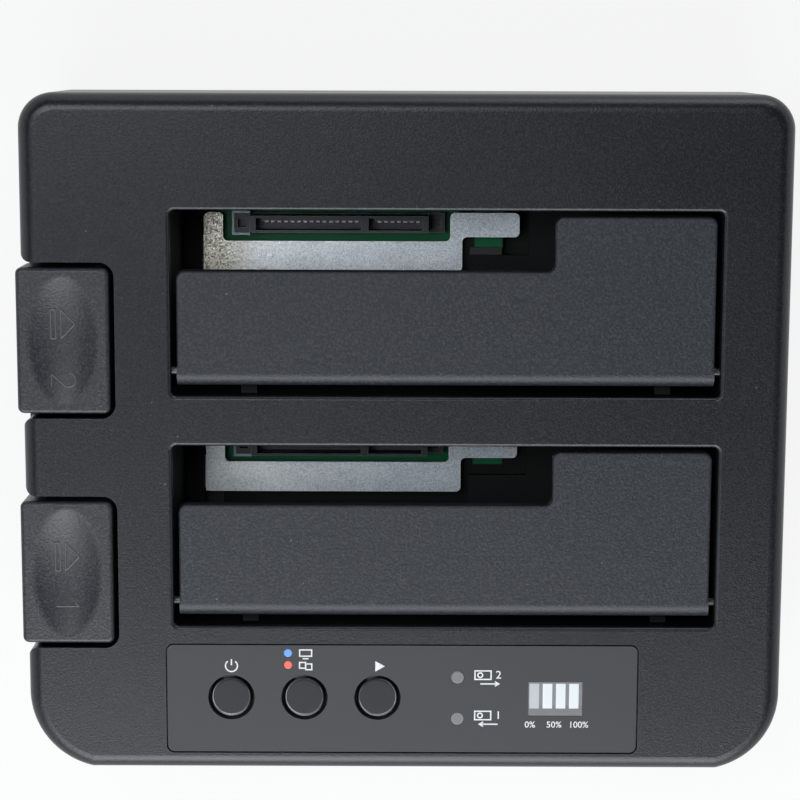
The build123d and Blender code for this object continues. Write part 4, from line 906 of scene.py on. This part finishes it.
def printNumeral(name, text, x, y, height, look):
    place, outward = dropOn(surfaceOf("control_panel"), x * mm, y * mm)
    data = bpy.data.curves.new(name, "FONT")
    data.body = text
    data.size = height * mm / look["capShare"]
    data.align_x = "CENTER"
    data.align_y = "CENTER"
    data.offset = look["bolder"]
    data.extrude = look["thickness"] / 2
    piece = bpy.data.objects.new(name, data)
    lift = Matrix.Translation(place + outward * (look["clear"] + look["thickness"] / 2))
    piece.matrix_world = lift @ Matrix.Rotation(slope, 4, "X")
    addToScene(piece, "housing", ink)


printPictograms(panelMarks)
for drive in panelMarks["drives"]:
    driveX, driveY = drive["at"]
    printNumeral("panelNumeral" + drive["numeral"], drive["numeral"], driveX + panelMarks["numeralShift"], driveY,
                 panelMarks["numeralHeight"], panelMarks)
for scaleIndex, (scaleText, scaleX) in enumerate(panelMarks["scale"]):
    printNumeral(f"scaleNumeral{scaleIndex}", scaleText, scaleX, panelMarks["scaleAlong"],
                 panelMarks["scaleHeight"], panelMarks)
print("panel printed")

keyMarks = {
    "height": 4.5,                   # of a numeral or the eject sign, along X: they are turned a quarter
    "strokeRadius": 0.21 * mm,
    "sunk": 0.06 * mm,               # of the stroke's middle under the surface
    "baseline": -66.5,               # where the marks' feet stand on X; signFrom and numeralFrom are on Y
    # the strokes lighter than the key: partly rubbed smooth, partly a painted highlight on the raised strokes
    "rubbedAndLit": {"color": (0.075, 0.078, 0.085), "colorAlt": (0.095, 0.098, 0.106), "bump": 0.3},
    "keys": [
        # a key's node and its body have one name
        {"node": "eject_key_2", "numeral": "2", "signFrom": 24.6, "numeralFrom": 12.4},
        {"node": "eject_key_1", "numeral": "1", "signFrom": -20.6, "numeralFrom": -32.4},
    ],
}
numeralPaths = {
    # across and up, as shares of the height
    "1": [[(0.0, 0.80), (0.08, 0.86), (0.17, 1.0), (0.17, 0.0)]],
    "2": [arc(0.29, 0.71, 0.29, 172, -38, 18) + [(0.03, 0.0), (0.60, 0.0)]],
}
ejectPaths = [
    [(0.0, 0.42), (0.62, 1.0), (1.24, 0.42), (0.0, 0.42)],
    [(0.0, 0.0), (1.24, 0.0), (1.24, 0.2), (0.0, 0.2), (0.0, 0.0)],
]


def splitRuns(path, step=0.06):
    # extra points a step apart along the straight runs, so that the stroke follows the key's hollow
    points = [path[0]]
    for start, end in zip(path, path[1:]):
        count = max(1, math.ceil(math.dist(start, end) / step))
        for index in range(1, count + 1):
            share = index / count
            points.append((start[0] + (end[0] - start[0]) * share, start[1] + (end[1] - start[1]) * share))
    return points


def markKey(key, look):
    # thin raised strokes, laid on the key's surface
    surface = surfaceOf(key["node"])
    data = bpy.data.curves.new(key["node"] + "Marks", "CURVE")
    data.dimensions = "3D"
    data.bevel_depth = look["strokeRadius"]
    data.bevel_resolution = 2
    data.use_fill_caps = True
    signs = [(path, key["signFrom"]) for path in ejectPaths]
    signs += [(path, key["numeralFrom"]) for path in numeralPaths[key["numeral"]]]
    for path, start in signs:
        points = splitRuns(path)
        spline = data.splines.new("POLY")
        spline.points.add(len(points) - 1)
        for point, (across, up) in zip(spline.points, points):
            x, y = look["baseline"] + up * look["height"], start - across * look["height"]
            place, outward = dropOn(surface, x * mm, y * mm)
            point.co = (*(place - outward * look["sunk"]), 1)
    addToScene(bpy.data.objects.new(data.name, data), key["node"], rubbedAndLit)


# the marks' material: rubbed, and with a painted highlight
rubbedAndLit = mouldedPlastic("key_marks", dict(plastics["key_plastic"], **keyMarks["rubbedAndLit"]))
for key in keyMarks["keys"]:
    markKey(key, keyMarks)
print("keys marked")

springs = {"keyTravel": 2.8 * mm, "flapWire": 0.4 * mm, "bays": ("1", "2")}


def yieldingCopy(nodeName):
    # the same wire as a piece of its own, in the steel finish, with the original part hidden
    mesh = nodes[nodeName].data.copy()
    mesh.name = nodeName + "Wire"
    mesh.materials.clear()
    mesh.materials.append(finishes["steel_pin"])
    piece = bpy.data.objects.new(mesh.name, mesh)
    bpy.context.scene.collection.objects.link(piece)
    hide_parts(nodeName)
    return piece


for bay in springs["bays"]:
    piece = yieldingCopy("key_spring_" + bay)
    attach(piece, "housing")
    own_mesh(piece)
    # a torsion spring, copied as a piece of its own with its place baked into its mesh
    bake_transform(yieldingCopy("flap_spring_" + bay))
print("springs set")
